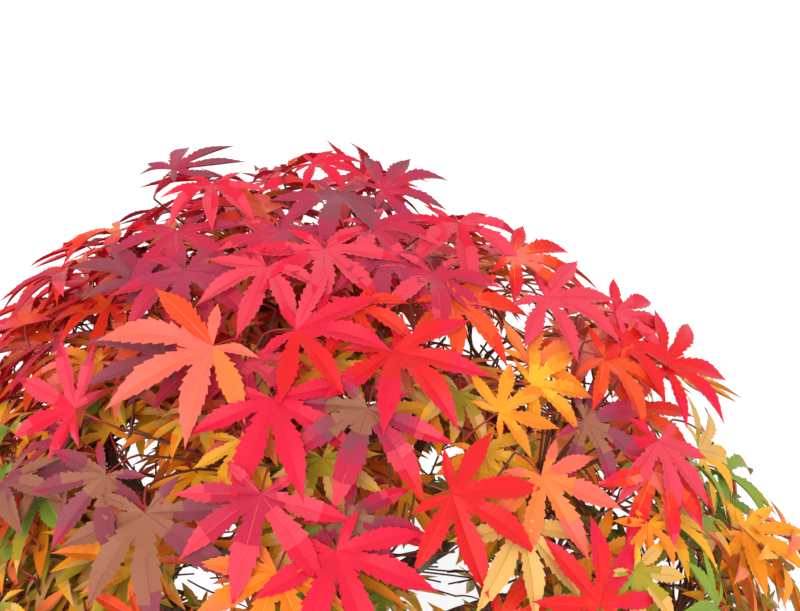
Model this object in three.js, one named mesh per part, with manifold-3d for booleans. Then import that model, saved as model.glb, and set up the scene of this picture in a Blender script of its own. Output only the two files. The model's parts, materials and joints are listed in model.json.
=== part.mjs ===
// A Japanese maple bonsai in autumn leaf, standing in a plain oval pot.
// Millimetres, +Z up. The origin is the centre of the pot's flat underside, and the front faces -Y.
import * as THREE from "three";
import { mergeVertices } from "three/addons/utils/BufferGeometryUtils.js";
import Module from "manifold-3d";

const wasm = await Module();
wasm.setup();

// Clear space between two pieces that touch, the shortest edge kept where solids are joined, and how near
// two corners of a mesh are one
const GAP = 0.3;
const SHORTEST = 0.02;
const MERGE = 1e-3;

// Pot and soil
const POT = {
  length: 330,
  width: 244,
  height: 66,
  footShare: 0.8,
  bellyHeight: 22,
  bellyShare: 0.6,
  wall: 10,
  floor: 10,
  cove: 5,
  lipOut: 7,
  lipHeight: 10,
  bevel: 2,
  sides: 36,
  drainRadius: 9,
  drainSpacing: 130,
  drainSides: 20,
};
const SOIL = { ground: 64, edge: 57, flatRadius: 70, slopeRadius: 98, slopeShare: 0.6 };

// Trunk: the places that its middle line runs through, as height above the ground and offsets
const TRUNK = {
  bends: [
    { up: 0, x: 0, y: 0 },
    { up: 18, x: 1, y: 0 },
    { up: 60, x: 15, y: -5 },
    { up: 112, x: 18, y: 3 },
    { up: 168, x: -4, y: 8 },
    { up: 228, x: -13, y: 1 },
  ],
  footRadius: 25,
  tipRadius: 4.2,
  taper: 0.8,
  flare: 17,
  flareHeight: 15,
  roots: { count: 5, turn: 0.6, relief: 0.54 },
  oval: { count: 2, turn: 1.1, relief: 0.19 },
  sides: 18,
  steps: 26,
};

// Crown: how far the leaves reach from its centre, to each side
const CROWN = {
  centre: new THREE.Vector3(-10, 0, 238),
  right: 252,
  left: 190,
  back: 196,
  front: 204,
  up: 250,
  down: 70,
  lowest: 107,
  bulge: 0.3,
  hollow: 0.5,
  reach: 1.13,
  margin: 0.003,
};

// Boughs
const BOUGH = {
  footRadius: 8.6,
  sideFootRadius: 5.6,
  tipRadius: 3.4,
  taper: 0.8,
  rise: 0.42,
  footPull: 0.42,
  tipPull: 0.36,
  sides: 6,
  steps: 6,
};

// Masses of foliage, each with the seed of its own random numbers, the heading of its middle and where its
// bough leaves the tree: a height above the ground on the trunk, or a share of the way along another bough
const MASSES = [
  { name: "top", seed: 100, turn: 0, fromTop: 0 },
  { name: "upper_front", seed: 801, turn: 270, fromTop: 46, height: 214 },
  { name: "upper_right", seed: 602, turn: 342, fromTop: 46, height: 198 },
  { name: "upper_back_right", seed: 403, turn: 54, fromTop: 46, height: 222 },
  { name: "upper_back_left", seed: 504, turn: 126, fromTop: 46, height: 196 },
  { name: "upper_left", seed: 205, turn: 198, fromTop: 46, height: 224 },
  { name: "lower_right", seed: 806, turn: 347, fromTop: 85, height: 108 },
  { name: "lower_left", seed: 807, turn: 193, fromTop: 85, height: 136 },
  { name: "lower_back", seed: 808, turn: 90, fromTop: 85, height: 124 },
  { name: "lower_back_right", seed: 809, turn: 39, fromTop: 85, height: 158 },
  { name: "lower_front_right", seed: 410, turn: 296, fromTop: 85, from: "lower_right", share: 0.36 },
  { name: "lower_front_left", seed: 511, turn: 244, fromTop: 85, from: "lower_left", share: 0.34 },
  { name: "lower_back_left", seed: 712, turn: 141, fromTop: 85, from: "lower_back", share: 0.38 },
];

// Twigs and leaves
const FOLIAGE = {
  seed: 11,
  stem: { length: 24, footRadius: 3.4, tipRadius: 2.4 },
  twigs: 62,
  twig: { share: 0.76, footRadius: 2.1, tipRadius: 1.3, bend: 0.4, gather: 0.1, along: 0.6, looseTurn: 12 },
  outerLeaves: { count: 300, least: 0.93, most: 1, root: 0.98, looseTurn: 30 },
  innerLeaves: { count: 50, least: 0.7, most: 0.84, root: 0.6, looseTurn: 60 },
  stalkSpacing: 7,
  firstRoot: 0.3,
  tries: { most: 26, pull: 0.04, loose: 0.014, shrink: 0.018, swing: 6 },
};
const LEAF = {
  length: 46,
  least: 0.9,
  most: 1.08,
  lobes: [
    [-88, 0.64],
    [-42, 0.92],
    [0, 1.0],
    [42, 0.92],
    [88, 0.64],
  ],
  notchShare: 0.38,
  notchDroop: 0.36,
  crest: 1.2,
  droop: 0.24,
  stalkIn: 4,
  neckRadius: 1.1,
  rootRadius: 0.9,
  leastSteepness: 0.4,
  tilt: 0.55,
  swing: 65,
  downhill: 1.2,
  towardsLight: 0.35,
};

const COLOUR = {
  pot: [0x5b4a40, 0.7],
  soil: [0x4a3626, 0.95],
  bark: [0x7a6a58, 0.85],
  high: [0xc0243f, 0.5],
  low: [0xdd6a24, 0.5],
};

// Numbers from 0 to 1 that are the same on every run
function seeded(seed) {
  let state = seed | 0;
  return () => {
    state = (state + 0x6d2b79f5) | 0;
    let t = Math.imul(state ^ (state >>> 15), 1 | state);
    t = (t + Math.imul(t ^ (t >>> 7), 61 | t)) ^ t;
    return ((t ^ (t >>> 14)) >>> 0) / 4294967296;
  };
}

const radians = THREE.MathUtils.degToRad;
const mix = THREE.MathUtils.lerp;

// Solids

function solidOf(geometry) {
  const bare = new THREE.BufferGeometry().setAttribute("position", geometry.getAttribute("position"));
  bare.setIndex(geometry.index);
  const merged = mergeVertices(bare, MERGE);
  return new wasm.Manifold(
    new wasm.Mesh({
      numProp: 3,
      vertProperties: new Float32Array(merged.getAttribute("position").array),
      triVerts: new Uint32Array(merged.index.array),
    }),
  );
}

function geometryOf(solid) {
  const mesh = solid.getMesh();
  const geometry = new THREE.BufferGeometry();
  geometry.setAttribute("position", new THREE.BufferAttribute(new Float32Array(mesh.vertProperties), 3));
  geometry.setIndex(new THREE.BufferAttribute(new Uint32Array(mesh.triVerts), 1));
  geometry.computeVertexNormals();
  return geometry;
}

// The largest body of a solid, once its shortest edges are closed up
function largestBody(solid) {
  const tidy = solidOf(geometryOf(solid.simplify(SHORTEST)));
  return tidy.decompose().sort((a, b) => b.volume() - a.volume())[0];
}

// A closed skin over rings of points that have the same number of points each
function loft(rings) {
  const sides = rings[0].length;
  const positions = rings.flat().flatMap((p) => [p.x, p.y, p.z]);
  const faces = [];
  for (let r = 0; r + 1 < rings.length; r++) {
    for (let s = 0; s < sides; s++) {
      const a = r * sides + s;
      const b = r * sides + ((s + 1) % sides);
      faces.push(a, b, b + sides, a, b + sides, a + sides);
    }
  }
  const last = (rings.length - 1) * sides;
  for (let s = 1; s + 1 < sides; s++) {
    faces.push(0, s + 1, s);
    faces.push(last, last + s, last + s + 1);
  }
  const geometry = new THREE.BufferGeometry();
  geometry.setAttribute("position", new THREE.Float32BufferAttribute(positions, 3));
  geometry.setIndex(faces);
  return geometry;
}

// A limb along a curve. radiusAt gives its radius for the share of the way along and the turn about it
function limb(curve, radiusAt, sides, steps) {
  const frames = curve.computeFrenetFrames(steps, false);
  const rings = [];
  for (let i = 0; i <= steps; i++) {
    const middle = curve.getPointAt(i / steps);
    const ring = [];
    for (let s = 0; s < sides; s++) {
      const turn = (s / sides) * 2 * Math.PI;
      const r = radiusAt(i / steps, turn);
      ring.push(
        middle
          .clone()
          .addScaledVector(frames.normals[i], r * Math.cos(turn))
          .addScaledVector(frames.binormals[i], r * Math.sin(turn)),
      );
    }
    rings.push(ring);
  }
  return loft(rings);
}

// Pot and soil

function ovalOf(profile, sides) {
  const lathe = new THREE.LatheGeometry(
    profile.map(([r, z]) => new THREE.Vector2(r, z)),
    sides,
  );
  lathe.rotateX(Math.PI / 2);
  return lathe.scale(1, POT.width / POT.length, 1);
}

// The half lengths of the pot's body at its foot, belly and brim
const POT_BODY = { foot: (POT.length / 2) * POT.footShare, brim: POT.length / 2 - POT.lipOut };
POT_BODY.belly = mix(POT_BODY.foot, POT_BODY.brim, POT.bellyShare);

function potSolid() {
  const { foot, belly, brim } = POT_BODY;
  const lip = POT.length / 2;
  const lipBase = POT.height - POT.lipHeight;
  const profile = [
    [0, 0],
    [foot - POT.bevel, 0],
    [foot, POT.bevel],
    [belly, POT.bellyHeight],
    [brim, lipBase],
    [lip - POT.bevel, lipBase],
    [lip, lipBase + POT.bevel],
    [lip, POT.height - POT.bevel],
    [lip - POT.bevel, POT.height],
    [brim - POT.wall, POT.height],
    [belly - POT.wall, POT.bellyHeight],
    [foot - POT.wall, POT.floor + POT.cove],
    [foot - POT.wall - POT.cove, POT.floor],
    [0, POT.floor],
  ];
  let pot = solidOf(ovalOf(profile, POT.sides));
  for (const side of [-1, 1]) {
    const drain = new THREE.CylinderGeometry(POT.drainRadius, POT.drainRadius, POT.floor * 3, POT.drainSides);
    drain.rotateX(Math.PI / 2).translate((side * POT.drainSpacing) / 2, 0, 0);
    pot = pot.subtract(solidOf(drain));
  }
  return pot;
}

// The soil fills the pot up to a mound that is flat under the trunk
function soilSolid() {
  const { foot, belly, brim } = POT_BODY;
  const inset = POT.wall + 2 * GAP;
  const edgeShare = (SOIL.edge - POT.bellyHeight) / (POT.height - POT.bellyHeight);
  const profile = [
    [0, POT.floor + GAP],
    [foot - inset - POT.cove, POT.floor + GAP],
    [foot - inset, POT.floor + POT.cove + GAP],
    [belly - inset, POT.bellyHeight + GAP],
    [mix(belly, brim, edgeShare) - inset, SOIL.edge],
    [SOIL.slopeRadius, mix(SOIL.edge, SOIL.ground, SOIL.slopeShare)],
    [SOIL.flatRadius, SOIL.ground],
    [0, SOIL.ground],
  ];
  return solidOf(ovalOf(profile, POT.sides));
}

// The crown's shape

function heading(turn, fromTop) {
  const level = Math.sin(radians(fromTop));
  return new THREE.Vector3(
    level * Math.cos(radians(turn)),
    level * Math.sin(radians(turn)),
    Math.cos(radians(fromTop)),
  );
}

for (const mass of MASSES) mass.heading = heading(mass.turn, mass.fromTop);

function ownerOf(direction) {
  return MASSES.reduce((best, m) => (m.heading.dot(direction) > best.heading.dot(direction) ? m : best));
}

// How far the crown's surface stands out along a direction: most at the middle of each mass
function swell(direction) {
  return 1 - CROWN.bulge * (1 - ownerOf(direction).heading.dot(direction));
}

function stretched(v) {
  return new THREE.Vector3(
    v.x * (v.x > 0 ? CROWN.right : CROWN.left),
    v.y * (v.y > 0 ? CROWN.back : CROWN.front),
    v.z * (v.z > 0 ? CROWN.up : CROWN.down),
  );
}

// The point along a direction, at a share of the way from the crown's centre to its surface
function inCrown(direction, share) {
  return stretched(direction.clone().multiplyScalar(share * swell(direction))).add(CROWN.centre);
}

// The direction and share of a point of the crown
function placeOf(point) {
  const v = point.clone().sub(CROWN.centre);
  v.x /= v.x > 0 ? CROWN.right : CROWN.left;
  v.y /= v.y > 0 ? CROWN.back : CROWN.front;
  v.z /= v.z > 0 ? CROWN.up : CROWN.down;
  const length = v.length();
  const direction = v.divideScalar(length);
  return { direction, share: length / swell(direction) };
}

function outwards(direction) {
  return inCrown(direction, 1).sub(inCrown(direction, 0.5)).normalize();
}

// Trunk and boughs

const upright = new THREE.Vector3(0, 0, 1);
const trunkTop = inCrown(upright, CROWN.hollow).addScaledVector(upright, -GAP);
const trunkBends = TRUNK.bends.map((b) => new THREE.Vector3(b.x, b.y, SOIL.ground + GAP + b.up));
const trunkCurve = new THREE.CatmullRomCurve3([...trunkBends, trunkTop]);

function trunkRadius(share, turn) {
  const height = share * trunkCurve.getLength();
  const plain = mix(TRUNK.footRadius, TRUNK.tipRadius, Math.pow(share, TRUNK.taper));
  const flare = TRUNK.flare * Math.exp(-height / TRUNK.flareHeight);
  const waves = [TRUNK.roots, TRUNK.oval].map((w) => w.relief * Math.cos(w.count * turn + w.turn));
  return plain + flare * (1 + waves[0] + waves[1]);
}

// The trunk, grown by extra all round. Its foot is cut level at the ground
function trunkSolid(extra) {
  const radiusAt = (share, turn) => trunkRadius(share, turn) + extra;
  const geometry = limb(trunkCurve, radiusAt, TRUNK.sides, TRUNK.steps);
  const places = geometry.getAttribute("position");
  for (let i = 0; i < TRUNK.sides; i++) places.setZ(i, SOIL.ground + GAP);
  return solidOf(geometry);
}

// The share of the trunk's length at a height above the ground, by halving
function trunkShareAt(height) {
  let share = 0;
  for (let step = 0.5; step > 1e-6; step /= 2) {
    if (trunkCurve.getPointAt(share + step).z < SOIL.ground + GAP + height) share += step;
  }
  return share;
}

// A bough leaves its parent rising with it, and enters its mass along the mass's own heading
function boughCurve(mass, curves) {
  const end = inCrown(mass.heading, CROWN.hollow);
  const out = outwards(mass.heading);
  const parent = mass.from ? curves.get(mass.from) : trunkCurve;
  const share = mass.from ? mass.share : trunkShareAt(mass.height);
  const start = parent.getPointAt(share);
  const along = parent.getTangentAt(share);
  const reach = end.distanceTo(start);
  const flat = end.clone().sub(start).setZ(0).normalize();
  const first = flat.addScaledVector(along, BOUGH.rise).normalize();
  return new THREE.CubicBezierCurve3(
    start,
    start.clone().addScaledVector(first, reach * BOUGH.footPull),
    end.clone().addScaledVector(out, -reach * BOUGH.tipPull),
    end.clone().addScaledVector(out, -GAP),
  );
}

function boughSolid(curve, footRadius, extra) {
  const radiusAt = (share) => mix(footRadius, BOUGH.tipRadius, Math.pow(share, BOUGH.taper)) + extra;
  return solidOf(limb(curve, radiusAt, BOUGH.sides, BOUGH.steps));
}

// Leaves

// The rim of a leaf as turns, shares of its length and shares of its droop: the tip of each lobe, with a
// notch after all but the last. The notches hang below the ridges that run from the crest to the tips. Its
// stalk end is near the origin, its middle lobe points along +X and its upper side faces +Z
const LEAF_RIM = LEAF.lobes.flatMap(([turn, share], i) => {
  const next = LEAF.lobes[i + 1];
  const tip = [turn, share, share * share];
  return next ? [tip, [(turn + next[0]) / 2, LEAF.notchShare, LEAF.notchDroop]] : [tip];
});

function around(r, turn, z) {
  return new THREE.Vector3(r * Math.cos(radians(turn)), r * Math.sin(radians(turn)), z);
}

// The corners of a leaf: its rim, its crest and the top of its stalk, three-sided, in its own space
function leafCorners(size) {
  const rim = LEAF_RIM.map(([turn, share, hang]) => around(size * share, turn, -LEAF.droop * size * hang));
  const crest = new THREE.Vector3(LEAF.stalkIn, 0, LEAF.crest);
  const neck = [-60, 60, 180].map((turn) => around(LEAF.neckRadius, turn, -LEAF.crest));
  for (const corner of neck) corner.x += LEAF.stalkIn;
  return { rim, crest, neck };
}

// A leaf on its stalk as one closed skin: a low tent over the rim, a flap under each lobe, an underside from
// the notches to the neck of the stalk, and the stalk's sides and end
function leafSolid({ rim, crest, neck, rootEnd }) {
  const corners = [...rim, crest, ...neck, ...rootEnd];
  const top = rim.length;
  const neckAt = top + 1;
  const rootAt = neckAt + neck.length;
  const faces = [];
  rim.forEach((_, i) => faces.push(i, (i + 1) % top, top));
  for (let tip = 2; tip + 2 < top; tip += 2) faces.push(tip - 1, tip + 1, tip);
  const under = [0, ...[...rim.keys()].filter((i) => i % 2 === 1), top - 1];
  const neckOf = (k) => neckAt + Math.floor((k * neck.length) / under.length);
  under.forEach((corner, k) => {
    const before = (k + under.length - 1) % under.length;
    faces.push(under[(k + 1) % under.length], corner, neckOf(k));
    if (neckOf(before) !== neckOf(k)) faces.push(neckOf(before), neckOf(k), corner);
  });
  neck.forEach((_, k) => {
    const next = (k + 1) % neck.length;
    faces.push(rootAt + k, rootAt + next, neckAt + next);
    faces.push(rootAt + k, neckAt + next, neckAt + k);
  });
  faces.push(rootAt, rootAt + 2, rootAt + 1);
  const geometry = new THREE.BufferGeometry();
  const positions = corners.flatMap((p) => [p.x, p.y, p.z]);
  geometry.setAttribute("position", new THREE.Float32BufferAttribute(positions, 3));
  geometry.setIndex(faces);
  return solidOf(geometry);
}

// Foliage

const GOLDEN_TURN = 137.50776;

// Directions spread evenly over the crown, in a spiral from its top
function spiral(count, looseTurn, random) {
  const lowest = Math.cos(radians(CROWN.lowest));
  const directions = [];
  for (let k = 0; k < count; k++) {
    const fromTop = THREE.MathUtils.radToDeg(Math.acos(mix(1, lowest, (k + 0.5) / count)));
    directions.push(heading(k * GOLDEN_TURN + (random() - 0.5) * looseTurn, fromTop));
  }
  return directions;
}

function leafPlaces({ count, least, most, root, looseTurn }, random) {
  return spiral(count, looseTurn, random).map((direction) => ({
    direction,
    share: mix(least, most, random()),
    root,
  }));
}

// Whether a point is in a mass's own space: nearer its heading than any other's, and not too far in or out
function keepsTo(mass, point) {
  const { direction, share } = placeOf(point);
  const own = mass.heading.dot(direction) - CROWN.margin;
  const nearer = MASSES.every((m) => m === mass || own > m.heading.dot(direction));
  return nearer && share > CROWN.hollow && share < CROWN.reach;
}

function nearest(directions, direction) {
  return directions.reduce((best, d) => (d.dot(direction) > best.dot(direction) ? d : best));
}

function twigSolid(curve, footRadius, tipRadius, steps) {
  return solidOf(limb(curve, (share) => mix(footRadius, tipRadius, share), 3, steps));
}

const crosses = (solid, others) => others.some((o) => !solid.intersect(o).isEmpty());

// A leaf at a place of the crown, facing out and up with its middle lobe downhill, and its root on a twig
function makeLeaf(direction, share, size, swing, root, random) {
  const out = outwards(direction);
  const up = new THREE.Vector3(random() - 0.5, random() - 0.5, random() - 0.5)
    .multiplyScalar(LEAF.tilt)
    .add(out)
    .addScaledVector(upright, LEAF.towardsLight)
    .normalize();
  const middle = new THREE.Vector3(out.x, out.y, out.z - LEAF.downhill);
  middle.addScaledVector(up, -middle.dot(up)).normalize();
  middle.applyAxisAngle(up, radians((random() * 2 - 1) * swing));
  const place = new THREE.Matrix4().makeBasis(middle, up.clone().cross(middle), up);
  place.setPosition(inCrown(direction, share));
  const { rim, crest, neck } = leafCorners(size);
  for (const corner of [...rim, crest, ...neck]) corner.applyMatrix4(place);
  const neckMiddle = new THREE.Vector3(LEAF.stalkIn, 0, -LEAF.crest).applyMatrix4(place);
  const thinner = LEAF.rootRadius / LEAF.neckRadius;
  const rootEnd = neck.map((p) => p.clone().sub(neckMiddle).multiplyScalar(thinner).add(root));
  const steepness = neckMiddle.clone().sub(root).normalize().dot(up);
  return { rim, crest, neck, rootEnd, steepness };
}

// The same leaf with only the upper half of its stalk
function halfStalked(leaf) {
  return { ...leaf, rootEnd: leaf.rootEnd.map((p, k) => p.clone().lerp(leaf.neck[k], 0.5)) };
}

// The first of a few tries at a leaf that keeps to its mass's own space and clear of all else. Its blade
// keeps clear of what carries it too
function placeLeaf(mass, place, root, carriers, others, random) {
  const { most, pull, loose, shrink, swing } = FOLIAGE.tries;
  for (let attempt = 0; attempt < most; attempt++) {
    const direction = place.direction.clone().lerp(mass.heading, attempt * pull * random()).normalize();
    const share = Math.min(1, place.share + (random() - 0.5) * loose * attempt);
    const size = LEAF.length * mix(LEAF.least, LEAF.most, random()) * (1 - shrink * attempt);
    const leaf = makeLeaf(direction, share, size, LEAF.swing + swing * attempt, root, random);
    if (leaf.steepness < LEAF.leastSteepness) continue;
    if (!leaf.rim.every((p) => keepsTo(mass, p))) continue;
    if (crosses(leafSolid(halfStalked(leaf)), carriers)) continue;
    const solid = leafSolid(leaf);
    if (!crosses(solid, others)) return solid;
  }
  return null;
}

// The twigs of a mass fan out from its stem, each to a place in the middle of its leaves
function growTwigs(mass, foot, crutch, twigPlaces, limbs) {
  const { share, footRadius, tipRadius, bend, gather, along } = FOLIAGE.twig;
  const own = twigPlaces.filter((d) => ownerOf(d) === mass);
  const twigs = own.map((place, k) => {
    const start = crutch.clone().lerp(foot, (along * k) / own.length);
    const end = inCrown(place.clone().lerp(mass.heading, gather).normalize(), share);
    const middle = start.clone().addScaledVector(outwards(mass.heading), start.distanceTo(end) * bend);
    const curve = new THREE.QuadraticBezierCurve3(start, middle, end);
    return { place, curve, solid: twigSolid(curve, footRadius, tipRadius, 2) };
  });
  return twigs.filter((twig) => !crosses(twig.solid, limbs));
}

// One mass: a stem that goes on from its bough's tip, twigs, and on each twig the leaves nearest to it
function growMass(mass, twigPlaces, places, limbs) {
  const random = seeded(mass.seed);
  const { length, footRadius, tipRadius } = FOLIAGE.stem;
  const foot = inCrown(mass.heading, CROWN.hollow);
  const crutch = foot.clone().addScaledVector(outwards(mass.heading), length);
  const stem = twigSolid(new THREE.LineCurve3(foot, crutch), footRadius, tipRadius, 1);
  const twigs = growTwigs(mass, foot, crutch, twigPlaces, limbs);
  const twigDirections = twigs.map((t) => t.place);
  const leaves = [];
  for (const twig of twigs) {
    const own = places.filter((p) => ownerOf(p.direction) === mass);
    const near = own.filter((p) => nearest(twigDirections, p.direction) === twig.place);
    const otherTwigs = twigs.filter((t) => t !== twig).map((t) => t.solid);
    const spacing = FOLIAGE.stalkSpacing / twig.curve.getLength();
    near.forEach((place, n) => {
      const root = twig.curve.getPointAt(Math.max(FOLIAGE.firstRoot, place.root - n * spacing));
      const others = [...limbs, ...otherTwigs, ...leaves];
      const leaf = placeLeaf(mass, place, root, [stem, twig.solid], others, random);
      if (leaf) leaves.push(leaf);
    });
  }
  return largestBody(wasm.Manifold.union([stem, ...twigs.map((t) => t.solid), ...leaves]));
}

// The whole plant

const plant = new THREE.Group();

function add(name, solid, [colour, roughness]) {
  const material = new THREE.MeshStandardMaterial({ color: colour, roughness, metalness: 0 });
  const mesh = new THREE.Mesh(geometryOf(solid), material);
  mesh.name = name;
  plant.add(mesh);
}

add("pot", potSolid(), COLOUR.pot);
add("soil", soilSolid(), COLOUR.soil);
add("trunk", trunkSolid(0), COLOUR.bark);

// Each bough is cut clear of the trunk and of the boughs before it
const boughCurves = new Map();
const limbs = [trunkSolid(GAP)];
for (const mass of MASSES.filter((m) => m.fromTop > 0)) {
  const curve = boughCurve(mass, boughCurves);
  const footRadius = mass.from ? BOUGH.sideFootRadius : BOUGH.footRadius;
  const bough = limbs.reduce((rest, other) => rest.subtract(other), boughSolid(curve, footRadius, 0));
  add("bough_" + mass.name, largestBody(bough), COLOUR.bark);
  boughCurves.set(mass.name, curve);
  limbs.push(boughSolid(curve, footRadius, GAP));
}

const spread = seeded(FOLIAGE.seed);
const twigPlaces = spiral(FOLIAGE.twigs, FOLIAGE.twig.looseTurn, spread);
const places = [...leafPlaces(FOLIAGE.outerLeaves, spread), ...leafPlaces(FOLIAGE.innerLeaves, spread)];
for (const mass of MASSES) {
  const solid = growMass(mass, twigPlaces, places, limbs);
  add("foliage_" + mass.name, solid, mass.name.startsWith("lower") ? COLOUR.low : COLOUR.high);
}

export default plant;
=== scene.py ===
"""A Japanese maple bonsai in autumn leaf: its pot, bark, twigs and leaves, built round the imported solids.

Metres, +Z up, front towards -Y. The crown, trunk, boughs and twigs follow the same rule as the solids do.
"""

import json
import math
from contextlib import contextmanager
from typing import NamedTuple

import bmesh
import bpy
import numpy as np
from bpy.props import FloatProperty, FloatVectorProperty, IntProperty, PointerProperty
from bpy.types import Operator, Panel, PropertyGroup
from mathutils import Matrix, Quaternion, Vector, noise

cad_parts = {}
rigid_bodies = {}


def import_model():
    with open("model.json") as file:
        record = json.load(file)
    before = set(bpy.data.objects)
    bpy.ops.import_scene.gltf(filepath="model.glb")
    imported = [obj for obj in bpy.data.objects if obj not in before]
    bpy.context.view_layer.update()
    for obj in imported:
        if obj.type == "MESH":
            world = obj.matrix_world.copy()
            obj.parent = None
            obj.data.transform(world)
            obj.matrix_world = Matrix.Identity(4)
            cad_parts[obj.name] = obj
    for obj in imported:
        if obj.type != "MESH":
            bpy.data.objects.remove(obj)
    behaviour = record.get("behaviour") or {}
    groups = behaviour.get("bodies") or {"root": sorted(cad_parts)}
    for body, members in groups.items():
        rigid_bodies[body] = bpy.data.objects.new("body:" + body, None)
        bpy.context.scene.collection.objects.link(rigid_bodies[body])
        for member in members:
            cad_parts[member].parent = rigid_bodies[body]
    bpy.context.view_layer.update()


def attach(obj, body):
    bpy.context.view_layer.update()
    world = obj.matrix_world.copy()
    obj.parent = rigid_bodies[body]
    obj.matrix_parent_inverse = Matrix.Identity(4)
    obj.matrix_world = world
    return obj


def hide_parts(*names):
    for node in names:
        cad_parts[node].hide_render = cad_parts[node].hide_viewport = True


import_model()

bl_info = {
    "name": "Maple Bonsai",
    "version": (1, 0, 0),
    "blender": (4, 5, 0),
    "location": "3D View > Sidebar > Maple",
    "description": "Builds a potted Japanese maple bonsai in autumn leaf",
    "category": "Add Mesh",
}

MM = 0.001
UP = np.array([0.0, 0.0, 1.0])

# Clear space between a solid and the next
GAP = 0.3 * MM

# Degrees from one direction of a spiral to the next
GOLDEN_TURN = 137.50776

# The picture's pixels across and down, and the width of the camera's sensor in millimetres
PICTURE = (800, 611)
SENSOR = 36.0

# A line of sight is read in steps, so many before and behind the camera's target
SIGHT_STEP = 2 * MM
SIGHT_STEPS = range(-150, 75)

# Masses of foliage: name, turn and angle from the top of the middle, and where the bough leaves the tree,
# as a height above the ground on the trunk or as another bough's name and a share of the way along it
MASSES = [
    ("top", 0, 0, None),
    ("upper_front", 270, 46, 0.214),
    ("upper_right", 342, 46, 0.198),
    ("upper_back_right", 54, 46, 0.222),
    ("upper_back_left", 126, 46, 0.196),
    ("upper_left", 198, 46, 0.224),
    ("lower_right", 347, 85, 0.108),
    ("lower_left", 193, 85, 0.136),
    ("lower_back", 90, 85, 0.124),
    ("lower_back_right", 39, 85, 0.158),
    ("lower_front_right", 296, 85, ("lower_right", 0.36)),
    ("lower_front_left", 244, 85, ("lower_left", 0.34)),
    ("lower_back_left", 141, 85, ("lower_back", 0.38)),
]

# The trunk's middle line: height above the ground and offsets
TRUNK_BENDS = [
    (0, 0, 0),
    (0.018, 0.001, 0),
    (0.060, 0.015, -0.005),
    (0.112, 0.018, 0.003),
    (0.168, -0.004, 0.008),
    (0.228, -0.013, 0.001),
]

# Leaf lobes from one side to the other: turn from the middle lobe, share of its length, and how far out
# the notch before it is
LOBES = [
    (-126, 0.44, 0.0),
    (-83, 0.78, 0.13),
    (-41, 0.95, 0.17),
    (0, 1.0, 0.19),
    (41, 0.95, 0.19),
    (83, 0.78, 0.17),
    (126, 0.44, 0.13),
]

# Tints from fully turned to barely turned: name, colour
TINTS = [
    ("umber", (0.60, 0.37, 0.27)),
    ("plum", (0.55, 0.24, 0.29)),
    ("wine", (0.66, 0.17, 0.29)),
    ("magenta", (0.74, 0.12, 0.25)),
    ("rose", (0.86, 0.23, 0.31)),
    ("crimson", (0.85, 0.07, 0.215)),
    ("carmine", (0.85, 0.09, 0.11)),
    ("scarlet", (0.87, 0.17, 0.08)),
    ("vermilion", (0.89, 0.28, 0.09)),
    ("coral", (0.92, 0.40, 0.33)),
    ("salmon", (0.92, 0.47, 0.23)),
    ("tangerine", (0.93, 0.49, 0.09)),
    ("amber", (0.93, 0.57, 0.10)),
    ("gold", (0.92, 0.66, 0.14)),
    ("straw", (0.86, 0.66, 0.36)),
    ("olive", (0.66, 0.57, 0.12)),
    ("leaf_green", (0.52, 0.61, 0.20)),
]

# Leaves that the picture shows whole: pixels across and down of the stalk's end, turn of the middle lobe
# clockwise from the right, share of full size, and tints of the tips and of the palm
FRONT_LEAVES = [
    (173, 170, -30, 1.0, "plum", "wine"),
    (213, 184, 90, 0.9, "rose", "crimson"),
    (313, 164, 10, 0.7, "crimson", "crimson"),
    (336, 194, 95, 1.0, "wine", "plum"),
    (382, 190, -10, 0.9, "plum", "magenta"),
    (176, 231, 75, 1.05, "wine", "magenta"),
    (372, 226, 50, 0.9, "rose", "magenta"),
    (458, 222, 80, 1.1, "magenta", "crimson"),
    (279, 230, 75, 0.95, "rose", "wine"),
    (324, 249, 91, 1.1, "crimson", "rose"),
    (388, 260, 100, 0.95, "magenta", "wine"),
    (184, 270, 85, 1.15, "magenta", "wine"),
    (267, 267, 115, 0.95, "rose", "rose"),
    (433, 273, 85, 1.0, "rose", "magenta"),
    (513, 256, 17, 1.0, "rose", "coral"),
    (545, 297, 32, 1.05, "rose", "rose"),
    (450, 299, 40, 1.0, "scarlet", "vermilion"),
    (354, 305, 70, 0.85, "carmine", "scarlet"),
    (615, 313, 17, 0.9, "crimson", "rose"),
    (296, 330, 12, 1.1, "crimson", "crimson"),
    (622, 342, 20, 1.0, "carmine", "carmine"),
    (664, 363, 10, 1.0, "crimson", "carmine"),
    (604, 358, 30, 1.0, "scarlet", "vermilion"),
    (528, 364, -20, 0.8, "tangerine", "salmon"),
    (213, 346, 149, 1.3, "coral", "coral"),
    (393, 350, 50, 1.2, "crimson", "carmine"),
    (531, 384, 10, 0.8, "salmon", "gold"),
    (499, 412, -30, 0.75, "tangerine", "amber"),
    (273, 399, 66, 1.2, "crimson", "crimson"),
    (368, 408, 104, 1.2, "carmine", "umber"),
    (584, 421, 30, 1.0, "rose", "umber"),
    (658, 441, 80, 1.0, "rose", "rose"),
    (654, 471, 72, 1.0, "rose", "coral"),
    (541, 476, 60, 1.05, "coral", "salmon"),
    (106, 475, 130, 1.0, "wine", "umber"),
    (452, 494, 29, 1.15, "carmine", "carmine"),
    (261, 494, 100, 1.2, "crimson", "magenta"),
    (145, 513, 80, 1.3, "plum", "umber"),
    (345, 518, 50, 1.1, "carmine", "umber"),
    (520, 526, 80, 1.1, "straw", "straw"),
    (648, 523, 90, 0.6, "tangerine", "tangerine"),
    (634, 571, 50, 0.8, "gold", "olive"),
    (336, 551, 65, 1.2, "crimson", "crimson"),
    (277, 572, 110, 1.1, "salmon", "tangerine"),
    (600, 605, -95, 1.0, "crimson", "carmine"),
]

# The front leaf, by its pixel, that lies behind the ones round it, and its reach
SET_BACK = {(345, 518): 0.965}

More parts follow.
